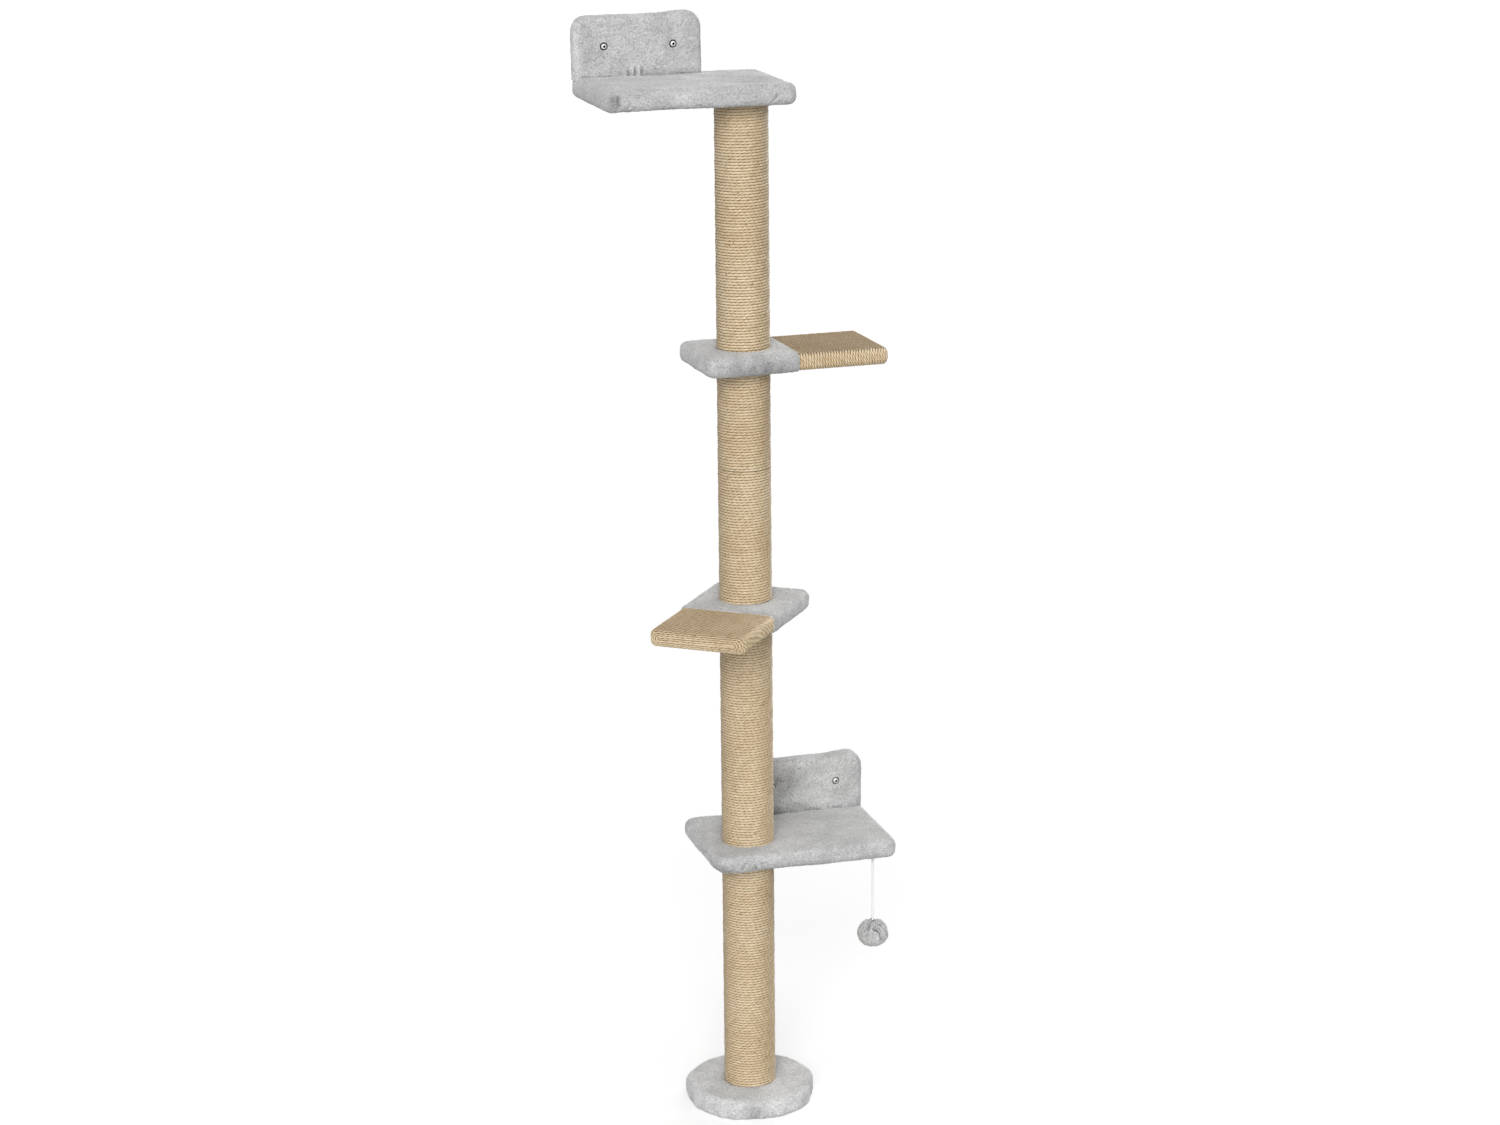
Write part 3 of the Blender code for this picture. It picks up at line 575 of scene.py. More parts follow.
def step_winding(name, step, turn, seed):
    """Rope wound round a step's board, then coiled flat over its end face."""
    low, high = local_box(step + "_rope", turn)
    face = local_box(step + "_rope_end", turn)[1][0]
    board_low, board_high = local_box(step + "_board", turn)
    seam = low[0]
    half_wide = (high[1] - low[1]) / 2
    half_tall = (high[2] - low[2]) / 2
    middle = (high[2] + low[2]) / 2
    straight = face - STEP_PLAN_RADIUS - seam
    arc = math.pi / 2 * (STEP_EDGE_RADIUS + STEP_PLAN_RADIUS) / 2
    inner_tall = half_tall - STEP_EDGE_RADIUS
    total = straight + arc + inner_tall
    kinds = np.append(np.repeat(np.arange(len(STEP_COLUMNS)), STEP_COLUMNS), 0)
    parts = np.concatenate([np.arange(count) / count for count in STEP_COLUMNS] + [[0.0]])

    def surface(t, column):
        distance = np.clip(ROPE_PITCH * (t - 1.0), 0, total)
        bend = np.clip((distance - straight) / arc, 0, 1) * math.pi / 2
        past = np.clip(distance - straight - arc, 0, inner_tall)
        wide = half_wide - (STEP_PLAN_RADIUS * (1 - np.cos(bend)) + past)
        tall = half_tall - (STEP_EDGE_RADIUS * (1 - np.cos(bend)) + past)
        radius = np.minimum(STEP_EDGE_RADIUS, tall)
        y, z, ny, nz = rounded_outline(wide, tall, radius, kinds[column], parts[column])
        reach = STEP_PLAN_RADIUS * ny * ny + STEP_EDGE_RADIUS * nz * nz
        x = np.where(
            distance < straight, seam + distance + (STEP_PLAN_RADIUS - reach) * distance / straight,
            face - reach * (1 - np.sin(bend)),
        )
        out = np.stack([np.sin(bend), np.cos(bend) * ny, np.cos(bend) * nz], -1)
        across = np.stack([np.cos(bend), -np.sin(bend) * ny, -np.sin(bend) * nz], -1)
        return np.stack([x, y, z + middle], -1), out, across

    def column_lengths(t):
        """How long each column's stretch of the turn at this winding distance is."""
        ring = surface(np.full((1, len(kinds)), t), np.arange(len(kinds))[None, :])[0][0]
        return np.linalg.norm(np.diff(ring, axis=0), axis=1)

    turns = math.ceil(total / ROPE_PITCH) + 2
    steps = column_lengths(1.5)
    shares = np.concatenate([[0.0], np.cumsum(steps)[:-1]]) / steps.sum()
    lengths = np.array([column_lengths(number + 0.5).sum() for number in range(turns)])
    mesh = wind(name, surface, shares, turns, lengths, seed, worn=True)
    core_low = board_low - GAP
    core_high = board_high + GAP
    corner = BOARD_CORNER + GAP

    def to_core(place):
        y = min(max(place.y, core_low[1]), core_high[1])
        z = min(max(place.z, core_low[2]), core_high[2])
        return Vector((seam, y, z))

    def to_end(place):
        over = min(abs(place.y) - (core_high[1] - corner), corner)
        inset = corner - math.sqrt(corner ** 2 - over ** 2) if over > 0 else 0.0
        return Vector((core_high[0] - inset, place.y, place.z))

    points = vertex_array(mesh)
    points[:, 0] = np.maximum(points[:, 0], seam)
    set_vertices(mesh, points)
    close_winding(mesh, to_core, to_end)
    mesh.transform(Matrix.Rotation(turn, 4, "Z"))
    return place_on(finish_as(linked(name, mesh), "rope"), "tree", step + "_rope", step + "_rope_end")


# Plain forms, and covers made from them

CORNER_FACES = 8
RIM_FACES = 6
SHARP = math.radians(50)


def box_form(low, high):
    """A plain box as a bmesh."""
    work = bmesh.new()
    bmesh.ops.create_cube(work, size=1.0)
    low, high = Vector(low), Vector(high)
    bmesh.ops.scale(work, vec=high - low, verts=work.verts)
    bmesh.ops.translate(work, vec=(high + low) / 2, verts=work.verts)
    return work


def block(name, low, high):
    return from_form(name, box_form(low, high))


def rounded_block(name, low, high, corner, top_only=False):
    """A box with rounded upright corners, or rounded top corners along Y."""
    work = box_form(low, high)
    chosen = []
    for edge in work.edges:
        first, second = (v.co for v in edge.verts)
        run = second - first
        upright = abs(run.z) > abs(run.x) + abs(run.y)
        over = abs(run.y) > abs(run.x) + abs(run.z) and first.z > (low[2] + high[2]) / 2
        if over if top_only else upright:
            chosen.append(edge)
    bmesh.ops.bevel(work, geom=chosen, offset=corner, segments=CORNER_FACES, profile=0.5, affect="EDGES")
    return from_form(name, work)


def rod(name, radius, low, high, x=0.0, y=0.0, sides=72):
    """An upright round rod between two heights."""
    work = bmesh.new()
    bmesh.ops.create_cone(
        work, cap_ends=True, segments=sides, radius1=radius, radius2=radius, depth=high - low
    )
    bmesh.ops.translate(work, vec=(x, y, (low + high) / 2), verts=work.verts)
    return from_form(name, work)


def rounded_rims(made):
    """Round a form's rims as the covers' are."""
    bevel = made.modifiers.new("rims", "BEVEL")
    bevel.width = COVER_RIM
    bevel.segments = RIM_FACES
    bevel.limit_method = "ANGLE"
    bevel.angle_limit = SHARP
    return made


def evaluated_mesh(made):
    """An object's mesh as its modifiers or its curve's settings make it."""
    bpy.context.view_layer.update()
    shape = made.evaluated_get(bpy.context.evaluated_depsgraph_get())
    return bpy.data.meshes.new_from_object(shape)


def applied(made):
    """The object with its modifiers made part of its mesh."""
    mesh = evaluated_mesh(made)
    made.modifiers.clear()
    made.data = mesh
    return made


def dense(made):
    """Even, fine faces all over a closed form, as fine as its size allows."""
    made = applied(made)
    area = sum(face.area for face in made.data.polygons)
    remesh = made.modifiers.new("dense", "REMESH")
    remesh.mode = "VOXEL"
    remesh.voxel_size = max(FINEST, math.sqrt(area / FACES))
    soften = made.modifiers.new("soften", "SMOOTH")
    soften.factor = 0.5
    soften.iterations = 4
    return applied(made)


def cut_away(made, cutters):
    """Cut plain closed forms out of a fine closed mesh."""
    for cutter in cutters:
        boolean = made.modifiers.new("cut", "BOOLEAN")
        boolean.operation = "DIFFERENCE"
        boolean.solver = "MANIFOLD"
        boolean.object = cutter
    applied(made)
    for cutter in cutters:
        bpy.data.objects.remove(cutter, do_unlink=True)


# The smallest face of a cover, in metres, and about how many faces one has at most
FINEST = 0.0013
FACES = 88000
# No fold goes deeper, so the cloth stays whole over a board's edge
DEEPEST = 0.0040
# Size and height of the pile's swell and clumps, and the spacing, level and height of its tufts
SWELL = (0.045, 0.0009)
CLUMPS = (0.0110, 0.0004)
TUFT_SPACING = 0.0038
TUFT_LEVEL = 0.55
TUFT_HEIGHT = 0.0017
# Painted shade in the hollows between tufts grows at this rate up to this depth, in shares of the tufts'
# spacing
HOLLOW_SHADE = 0.55
HOLLOW_DEEPEST = 0.4
# Painted shade in folds reaches this much at this depth
FOLD_SHADE = 0.40
FOLD_DEEPEST = 0.0035
LEFT_PAINTED_LIGHT = 0.07


def dress(made, seed, shape, shading=None, calm=None):
    """Displace a dense plush form by its pile and by its own folds, and paint shade into its hollows and
    folds.
    """
    mesh = made.data
    points = vertex_array(mesh)
    normals = np.empty(len(mesh.vertices) * 3)
    mesh.vertex_normals.foreach_get("vector", normals)
    normals = normals.reshape(-1, 3)
    swell = noise(points, SWELL[0], seed) * SWELL[1]
    clumps = noise(points, CLUMPS[0], seed + 1) * CLUMPS[1]
    gaps = tufts(points, TUFT_SPACING, seed + 2) - TUFT_LEVEL
    out = swell + clumps - gaps * TUFT_HEIGHT
    shade = np.clip(gaps, 0, HOLLOW_DEEPEST) * HOLLOW_SHADE
    if calm is not None:
        out = out * calm(points)
    fold = shape(points, normals)
    out = out + fold
    shade = shade + np.clip(-fold / FOLD_DEEPEST, 0, 1) * FOLD_SHADE
    if shading is not None:
        shade = shade + shading(points, normals)
    # Painted light: ends that face left are made paler
    shade = shade - LEFT_PAINTED_LIGHT * facing(normals, 0, -1)
    out = np.maximum(out, -DEEPEST)
    set_vertices(mesh, points + normals * out[:, None])
    add_layer(mesh, "shade", "FLOAT", "POINT", shade)


def finish_cover(made, name, cutters, turn, node):
    """Cut the dressed cover by what it fits on, turn it to its place and let it stand for its CAD node."""
    cut_away(made, cutters)
    if turn:
        made.data.transform(Matrix.Rotation(turn, 4, "Z"))
    made.name = name
    made.data.name = name
    return place_on(finish_as(made, "grey_plush"), "tree", node)


def board_hollow(board, corner, turn=0.0, reach=None, top_only=False):
    """A cutter the shape of a board, with its rounded corners."""
    low, high = local_box(board, turn)
    low, high = low - GAP, high + GAP
    if reach is not None:
        high[0] = reach
    return rounded_block("hollow", low, high, corner, top_only)


def pressed_by_post(points, normals):
    """The pile lies down where it meets the post, and so gets painted shade there."""
    beside = np.hypot(points[:, 0], points[:, 1]) - POST_RADIUS
    return -0.0012 * np.exp(-np.clip(beside, 0, None) / 0.006) * np.abs(normals[:, 2])


def line_gap(points, start, end):
    """How far each point is from a straight line's nearest point, and that point's share of the line."""
    start, end = np.array(start), np.array(end)
    run = end - start
    share = np.clip((points - start) @ run / (run @ run), 0, 1)
    return np.linalg.norm(points - (start + share[:, None] * run), axis=1), share


def line_fold(points, start, end, width, depth, skew=0.0):
    """A crease from start to end, dipping by depth, with a soft ridge on one side where skewed."""
    gap, share = line_gap(points, start, end)
    fade = np.clip(np.minimum(share, 1 - share) * 5, 0.25, 1)
    dip = -depth * np.exp(-((gap / width) ** 2)) * fade
    ridge = skew * depth * np.exp(-(((gap - 2.2 * width) / (1.6 * width)) ** 2)) * fade
    return dip + ridge


def creased(out, points, skew, creases):
    """Folds with more creases, each given by its start, end, width and depth."""
    for crease in creases:
        out = out + line_fold(points, *crease, skew)
    return out


def uneven_seam(points, seed):
    """How strongly the cloth is drawn in along a seam, stronger here and weaker there."""
    return np.clip(0.6 + 0.9 * noise(points, 0.013, seed + 5), 0.15, 1)


def shelf_cover(name, shelf, seed, has_post_above, shape, shading=None):
    """A shelf's cover, cut for its board, its posts, its plate and the screws up into the plate."""
    low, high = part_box(shelf + "_plush")
    board_low, board_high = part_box(shelf + "_board")
    plate_low, plate_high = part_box(shelf + "_plate_plush")
    under = low.z - PAST
    over = high.z + PAST
    board_top = board_high.z + PRESSED
    made = dense(rounded_rims(rounded_block(name, low, high, COVER_CORNER)))

    def folds(points, normals):
        """The pile parts along the plate's foot, besides the cover's own folds."""
        beside = np.clip(plate_low.x - points[:, 0], 0, None) + np.clip(points[:, 0] - plate_high.x, 0, None)
        foot = hump(points[:, 1], plate_low.y, 0.0028) * np.exp(-beside / 0.002) * facing(normals, 2, 1)
        foot = foot * uneven_seam(points, seed)
        return pressed_by_post(points, normals) + shape(points, normals, low, high) - 0.0024 * foot

    def calm(points):
        """The nap lies lower over the bolt's head, where the cloth is thin."""
        near = np.exp(-((np.hypot(points[:, 0], points[:, 1]) / 0.013) ** 4)) * (points[:, 2] > board_high.z)
        return 1 - 0.6 * near

    dress(made, seed, folds, shading, None if has_post_above else calm)
    cutters = [
        board_hollow(shelf + "_board", BOARD_CORNER),
        rod("seat_under", POST_SEAT, under, board_low.z - PRESSED),
        rod("bore", STUD_BORE, under, board_top + 0.001, sides=24),
    ]
    if has_post_above:
        cutters.append(rod("seat_over", POST_SEAT, board_top, over))
    else:
        cutters.append(rod("bolt_seat", BOLT_SEAT, board_top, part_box("top_bolt")[1].z + GAP, sides=32))
    seat_low = (plate_low.x - GAP, plate_low.y - GAP, board_top)
    cutters.append(block("plate_seat", seat_low, (plate_high.x + GAP, plate_high.y + PAST, over)))
    for side in ("left", "right"):
        screw_low, screw_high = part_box(f"{shelf}_plate_joining_screw_{side}")
        x = (screw_low.x + screw_high.x) / 2
        y = (screw_low.y + screw_high.y) / 2
        cutters.append(rod("joining_bore", JOINING_BORE, under, over, x, y, 20))
        cutters.append(rod("joining_dimple", JOINING_DIMPLE, under, board_low.z, x, y, 24))
    return finish_cover(made, name, cutters, 0.0, shelf + "_plush")


def low_shelf_shape(points, normals, low, high):
    """The front left corner is drawn in below, and slack cloth bags beside it."""
    x, y, z = points.T
    left, front, foot = low
    middle = (low.z + high.z) / 2
    down = facing(normals, 2, -1)
    below = np.clip((high.z - 0.010 - z) / 0.012, 0, 1)
    corner = np.exp(-(np.hypot(x - left - 0.006, y - front - 0.006) / 0.026) ** 2)
    drawn = -0.0036 * corner * below
    lifted = -0.0024 * hump(y, front + 0.006, 0.014) * np.maximum(down, 0.5 * facing(normals, 1, -1) * below)
    lifted = lifted * (1 - 0.9 * hump(x, left + 0.040, 0.016))
    out = drawn + lifted * np.clip((left + 0.20 - x) / 0.06, 0, 1) - 0.0012 * down
    return creased(out, points, 0.3, (
        ((left + 0.072, front, foot - 0.002), (left + 0.066, front, middle - 0.002), 0.0022, 0.0030),
        ((left + 0.040, front, middle - 0.010), (left + 0.052, front, middle + 0.008), 0.0022, 0.0018),
        ((left + 0.002, front + 0.014, foot + 0.006), (left + 0.026, front, middle + 0.004), 0.0024, 0.0030),
        ((left + 0.005, front + 0.006, foot + 0.003), (left + 0.028, front, foot + 0.012), 0.0022, 0.0022),
        ((left, front + 0.050, middle), (left, front + 0.016, foot + 0.010), 0.0024, 0.0020),
        ((left, front + 0.100, middle - 0.004), (left, front + 0.070, middle + 0.006), 0.0024, 0.0016),
    ))


def top_shelf_shape(points, normals, low, high):
    """A folded front left corner with an upright tuck, and the slit over the bolt."""
    x, y, _ = points.T
    left, front, foot = low
    right, top = high.x, high.z
    middle = (low.z + high.z) / 2
    forward = facing(normals, 1, -1)
    tuck_foot = (left + 0.0240, front, foot - 0.006)
    tuck = line_fold(points, tuck_foot, (left + 0.0250, front, top - 0.002), 0.0026, 0.0042)
    flap = 0.0016 * hump(x, left + 0.034, 0.009) * forward - 0.0010 * hump(x, left + 0.016, 0.008) * forward
    tip = 0.0022 * hump(x, left + 0.017, 0.008) * hump(y, front + 0.004, 0.010) * facing(normals, 2, -1)
    out = creased(tuck + flap + tip - 0.0006 * facing(normals, 0, -1), points, 0.3, (
        ((left + 0.040, front, foot + 0.004), (left + 0.044, front, middle - 0.002), 0.0022, 0.0020),
        ((left + 0.050, front, foot + 0.002), (left + 0.075, front, foot + 0.006), 0.0022, 0.0018),
        ((left, front + 0.020, middle), (left, front + 0.034, foot + 0.006), 0.0022, 0.0016),
        ((right - 0.048, front, foot + 0.002), (right - 0.032, front, middle + 0.002), 0.0022, 0.0018),
        ((right - 0.070, front, foot), (right - 0.040, front, foot + 0.004), 0.0022, 0.0016),
    ))
    slit = line_fold(points, (-0.008, 0.001, top), (0.008, -0.001, top), 0.0018, 0.0020, 0.5)
    near_bolt = np.exp(-((np.hypot(x, y) / 0.016) ** 4)) * facing(normals, 2, 1)
    return out * (1 - near_bolt) + slit + near_bolt * 0.0006


def top_shelf_shading(points, normals):
    """Painted shade left of the tuck and on the top, and painted light on the left end."""
    low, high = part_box("top_shelf_plush")
    x, y, z = points.T
    end = np.clip(-normals[:, 0] - 0.2, 0, 1)
    up_to_tuck = np.clip((low.x + 0.0245 - x) / 0.003, 0, 1) * np.clip((low.y + 0.02 - y) / 0.02, 0, 1)
    below = np.clip((high.z - 0.004 - z) / 0.008, 0, 1)
    return (0.20 * up_to_tuck - 0.10 * end) * below + 0.05 * facing(normals, 2, 1)


def patches_of(*spots):
    """Shading that darkens soft spots, each a centre, a half size and a strength."""

    def shading(points, normals):
        total = np.zeros(len(points))
        mottle = 0.75 + 0.5 * noise(points, 0.012, 91)
        for centre, half, strength in spots:
            reach = (((points - np.array(centre)) / np.array(half)) ** 2).sum(1)
            total += strength * np.exp(-reach) * mottle
        return total

    return shading


# How far a plate's cover is made to reach below its foot before it is cut
PLATE_DROP = 0.014


def plate_cover(name, plate, seed, gather=(), shading=None, drawn_down=0.0):
    """A plate's cover, open at its foot; gather gives the place, height and width of small folds there."""
    low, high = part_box(plate + "_plush")
    board_low, board_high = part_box(plate + "_board")
    left, front, foot = low
    right, back, top = high
    box_low = (left, front, foot - PLATE_DROP)
    box_high = (right, back, top - drawn_down)
    made = dense(rounded_rims(rounded_block(name, box_low, box_high, PLATE_COVER_CORNER, True)))

    def folds(points, normals):
        """Cloth bunched at the top corners, and drawn in or gathered along the foot."""
        x, _, z = points.T
        up = np.clip(normals[:, 2] + 0.4 * -normals[:, 1], 0, 1)
        forward = facing(normals, 1, -1)
        # Cloth bunched at the top right corner
        rise = np.clip((z - top + 0.03) / 0.03, 0, 1)
        out = creased(0.0036 * hump(x, right - 0.028, 0.024) * rise * up, points, 0.4, (
            ((right - 0.030, front, top - 0.004), (right - 0.034, front, top - 0.020), 0.0022, 0.0016),
            ((right - 0.014, front, top - 0.006), (right - 0.020, front, top - 0.024), 0.0022, 0.0014),
            ((left + 0.010, front, top - 0.008), (left + 0.020, front, top - 0.022), 0.0024, 0.0014),
        ))
        # The cloth is drawn in along the foot, where it meets the shelf's pile
        shelf_top = foot + PILE - PRESSED - GAP
        drawn = uneven_seam(points, seed)
        out = out - 0.0018 * drawn * forward * np.exp(-((np.clip(z - shelf_top, 0, None) / 0.0024) ** 2))
        rise = np.clip(1 - (z - shelf_top - 0.008) / 0.008, 0, 1)
        for centre, height, width in gather:
            out = out + forward * rise * height * hump(x, centre, width)
        return out

    dress(made, seed, folds, shading)
    cutters = [
        board_hollow(plate + "_board", PLATE_CORNER, top_only=True),
        block("foot", (left - PAST, front - PAST, foot - PLATE_DROP - PAST),
              (right + PAST, back + PAST, foot)),
        block("open_foot", (board_low.x - GAP, board_low.y - GAP, foot - 0.01),
              (board_high.x + GAP, board_high.y + GAP, board_low.z + 0.004)),
        block("wall", (left - PAST, back, foot - FAR_PAST), (right + PAST, back + FAR_PAST, top + FAR_PAST)),
    ]
    for side in ("left", "right"):
        washer_low, washer_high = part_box(f"{plate}_washer_{side}")
        place = ((washer_low.x + washer_high.x) / 2, 0, (washer_low.z + washer_high.z) / 2)
        for radius, end in ((WASHER_SEAT, washer_high.y + GAP), (WALL_SCREW_BORE, back + PAST)):
            drill = rod("drill", radius, front - PAST, end, sides=40)
            drill.data.transform(Matrix.Rotation(-math.pi / 2, 4, "X"))
            drill.data.transform(Matrix.Translation(place))
            cutters.append(drill)
    return finish_cover(made, name, cutters, 0.0, plate + "_plush")


# How far a step's cover is made to reach past its seam before it is cut
STEP_PAST = 0.016


def step_cover(name, step, turn, seed, shading=None):
    """The plush sleeve on a step's post end, open towards the rope."""
    low, high = local_box(step + "_plush", turn)
    board_low, board_high = local_box(step + "_board", turn)
    box_high = (high[0] + STEP_PAST, high[1], high[2])
    made = dense(rounded_rims(rounded_block(name, low, box_high, COVER_CORNER)))

    def folds(points, normals):
        """The cloth is drawn in towards the seam with the rope."""
        drawn = -0.0018 * np.clip((points[:, 0] - high[0] + 0.012) / 0.012, 0, 1) ** 2
        return pressed_by_post(points, normals) + drawn

    dress(made, seed, folds, shading)
    cutters = [
        board_hollow(step + "_board", BOARD_CORNER, turn, high[0] + FAR_PAST),
        block("past_seam", (high[0], low[1] - PAST, low[2] - PAST),
              (high[0] + FAR_PAST, high[1] + PAST, high[2] + PAST)),
        rod("seat_under", POST_SEAT, low[2] - PAST, board_low[2] - PRESSED),
        rod("seat_over", POST_SEAT, board_high[2] + PRESSED, high[2] + PAST),
        rod("bore", STUD_BORE, low[2] - PAST, high[2] + PAST, sides=24),
    ]
    return finish_cover(made, name, cutters, turn, step + "_plush")


# How far the base's cover is made to reach below the floor before it is cut
BASE_DROP = 0.004


def base_cover(name, seed):
    """The round base's cover, closed underneath."""
    low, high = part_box("base_plush")
    board_low, board_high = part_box("base_board")
    made = dense(rounded_rims(rod(name, high.x, low.z - BASE_DROP, high.z, sides=128)))

    def folds(points, normals):
        """Small gathers low on the rim, and an outline that isn't quite round."""
        x, y, z = points.T
        angle = np.arctan2(y, x)
        gathers = 0.0007 * np.sin(23 * angle + 2 * np.sin(3 * angle))
        gathers = gathers * np.clip((board_high.z - z) / 0.02, 0, 1)
        uneven = 0.0014 * np.sin(5 * angle + 0.8) + 0.0012 * np.sin(9 * angle + 2.1)
        return pressed_by_post(points, normals) + (gathers + uneven) * np.hypot(normals[:, 0], normals[:, 1])

    def shading(points, normals):
        """Painted light: the whole base is made paler, a little more round its rim and more on faces turned
        left or right.
        """
        return -0.18 - 0.02 * np.hypot(normals[:, 0], normals[:, 1]) - 0.05 * np.abs(normals[:, 0])

    dress(made, seed, folds, shading)
    cutters = [
        rod("hollow", board_high.x + GAP, board_low.z - GAP, board_high.z + GAP, sides=96),
        rod("seat", POST_SEAT, board_high.z + PRESSED, high.z + PAST),
        rod("bore", STUD_BORE, (board_low.z + board_high.z) / 2, high.z + PAST, sides=24),
        block("floor", (low.x - PAST, low.y - PAST, low.z - FAR_PAST),
              (high.x + PAST, high.y + PAST, low.z)),
    ]
    return finish_cover(made, name, cutters, 0.0, "base_plush")


# Screws and washers

THREAD_PITCH = 0.0018
THREAD_DEPTH = 0.0005
THREAD_ROWS = 6
BARE_SHANK = 0.003
# Half a thread's width as a share of its pitch, and the neck's radius as a share of the screw's
THREAD_FLANK = 0.28
SCREW_NECK = 0.86
SCREW_SIDES = 28
WASHER_SIDES = 48
# Shares of a head's radius and height, from its middle out and down
HEAD_SECTION = ((0.25, 1.0), (0.5, 0.97), (0.72, 0.86), (0.88, 0.68), (0.97, 0.45), (1.0, 0.25), (0.99, 0.0))
# Cross recess: reach and depth as shares of the head; width, middle and foot as shares of an arm
RECESS_REACH = 0.68
RECESS_DEPTH = 0.72
RECESS_ARM = 0.30
RECESS_MIDDLE = 0.58
RECESS_TAPER = 0.7
# Shares of a washer's radius and thickness, from its back round the rolled rim to its dish
WASHER_SECTION = (
    (0.96, 0.0), (1.0, 0.2), (1.0, 0.7), (0.97, 0.92), (0.92, 1.0), (0.85, 0.97), (0.76, 0.78), (0.6, 0.7),
)


def turned_rows(name, rows, closed=False):
    """A closed turned mesh about Z from rows of (radius, height) points, one pair per column."""
    columns = len(rows[0])
    points = []
    for row in rows:
        for column, (radius, height) in enumerate(row):
            angle = math.tau * column / columns
            points.append((radius * math.cos(angle), radius * math.sin(angle), height))
    mesh = bpy.data.meshes.new(name)
    mesh.from_pydata(points, [], ring_faces(columns, len(rows), closed))
    weld(mesh, 1e-7)
    return linked(name, mesh)


def forwards(low, high):
    """Where a part made along Z comes to face forwards in its plate."""
    middle = (low + high) / 2
    return Matrix.Translation((middle.x, high.y, middle.z)) @ Matrix.Rotation(math.pi / 2, 4, "X")


def screw(name, node, head_radius, head_height, radius, turn):
    """A cross-headed screw along a CAD screw's axis, its thread cut as a helix."""
    low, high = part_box(node)
    run = max(high - low)
    shank = run - head_height
    rows = [[(0.0, run)] * SCREW_SIDES]
    for share, rise in HEAD_SECTION:
        rows.append([(head_radius * share, shank + head_height * rise)] * SCREW_SIDES)
    rows.append([(radius * SCREW_NECK, shank)] * SCREW_SIDES)
    steps = int(shank / THREAD_PITCH * THREAD_ROWS)
    for number in range(1, steps):
        row = []
        height = shank * (1 - number / steps)
        taper = min(1.0, height / (4 * radius)) ** 0.6
        threaded = 1.0 if height < shank - BARE_SHANK else 0.0
        for column in range(SCREW_SIDES):
            wave = (height / THREAD_PITCH + column / SCREW_SIDES) % 1.0
            crest = max(0.0, 1 - abs(wave - 0.5) / THREAD_FLANK)
            row.append(((radius - THREAD_DEPTH * (1 - crest * threaded)) * taper, height))
        rows.append(row)
    rows.append([(0.0, 0.0)] * SCREW_SIDES)
    made = turned_rows(name, rows)
    arm = head_radius * RECESS_REACH
    inner = arm * RECESS_MIDDLE
    cutters = []
    for long, wide, taper, way in (
        (arm, arm * RECESS_ARM, RECESS_TAPER, turn),
        (arm, arm * RECESS_ARM, RECESS_TAPER, turn + math.pi / 2),
        (inner, inner, 1.0, turn + math.pi / 4),
    ):
        floor = run - head_height * RECESS_DEPTH
        cutter = block("recess", (-long, -wide, floor), (long, wide, run + 0.01))
        for vertex in cutter.data.vertices:
            if vertex.co.z < run:
                vertex.co.x *= taper
        cutter.data.transform(Matrix.Rotation(way, 4, "Z"))
        cutters.append(cutter)
    cut_away(made, cutters)
    finish_as(made, "zinc", "shaded_zinc")
    mesh = made.data
    # The recess's faces take the near-black painted shade
    for face in mesh.polygons:
        beside = math.hypot(face.center.x, face.center.y)
        if beside < arm * 1.02 and run - head_height * 0.75 < face.center.z < run - 0.0003:
            face.material_index = 1
    mesh.set_sharp_from_angle(angle=math.radians(40))
    # The head faces down under a shelf and forwards in a plate
    if (high - low).z >= run:
        middle = (low + high) / 2
        mesh.transform(Matrix.Translation((middle.x, middle.y, high.z)) @ Matrix.Rotation(math.pi, 4, "X"))
    else:
        mesh.transform(forwards(low, high))
    return place_on(made, "tree", node)


def washer(name, node):
    """A black cup washer: a rolled rim and a dish that falls to the screw."""
    low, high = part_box(node)
    rim = (high.x - low.x) / 2
    thick = high.y - low.y
    hole = WALL_SCREW_RADIUS + GAP
    section = [(rim * wide, thick * tall) for wide, tall in WASHER_SECTION]
    section = [(hole, 0.0), *section, (hole, section[-1][1])]
    rows = [[point] * WASHER_SIDES for point in section]
    made = finish_as(turned_rows(name, rows, closed=True), "plastic")
    made.data.set_sharp_from_angle(angle=SHARP)
    made.data.transform(forwards(low, high))
    return place_on(made, "tree", node)


# Hanging toy

BALL_COLUMNS, BALL_ROWS = ((200, 140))

# Each fold: where it starts round the tie, how it drifts, how far down it runs, how deep and how wide
BALL_FOLDS = (
    (-150, 6, 1.1, 0.11, 0.085), (-122, -8, 1.5, 0.14, 0.075), (-98, 4, 1.0, 0.10, 0.080),
    (-74, 22, 2.1, 0.17, 0.070), (-40, 10, 1.3, 0.12, 0.090), (-8, -6, 1.2, 0.13, 0.085),
    (26, 8, 1.5, 0.11, 0.085), (58, -10, 1.1, 0.13, 0.080), (92, 12, 1.7, 0.12, 0.085),
    (126, -4, 1.2, 0.12, 0.080), (160, 8, 1.4, 0.13, 0.085),
)
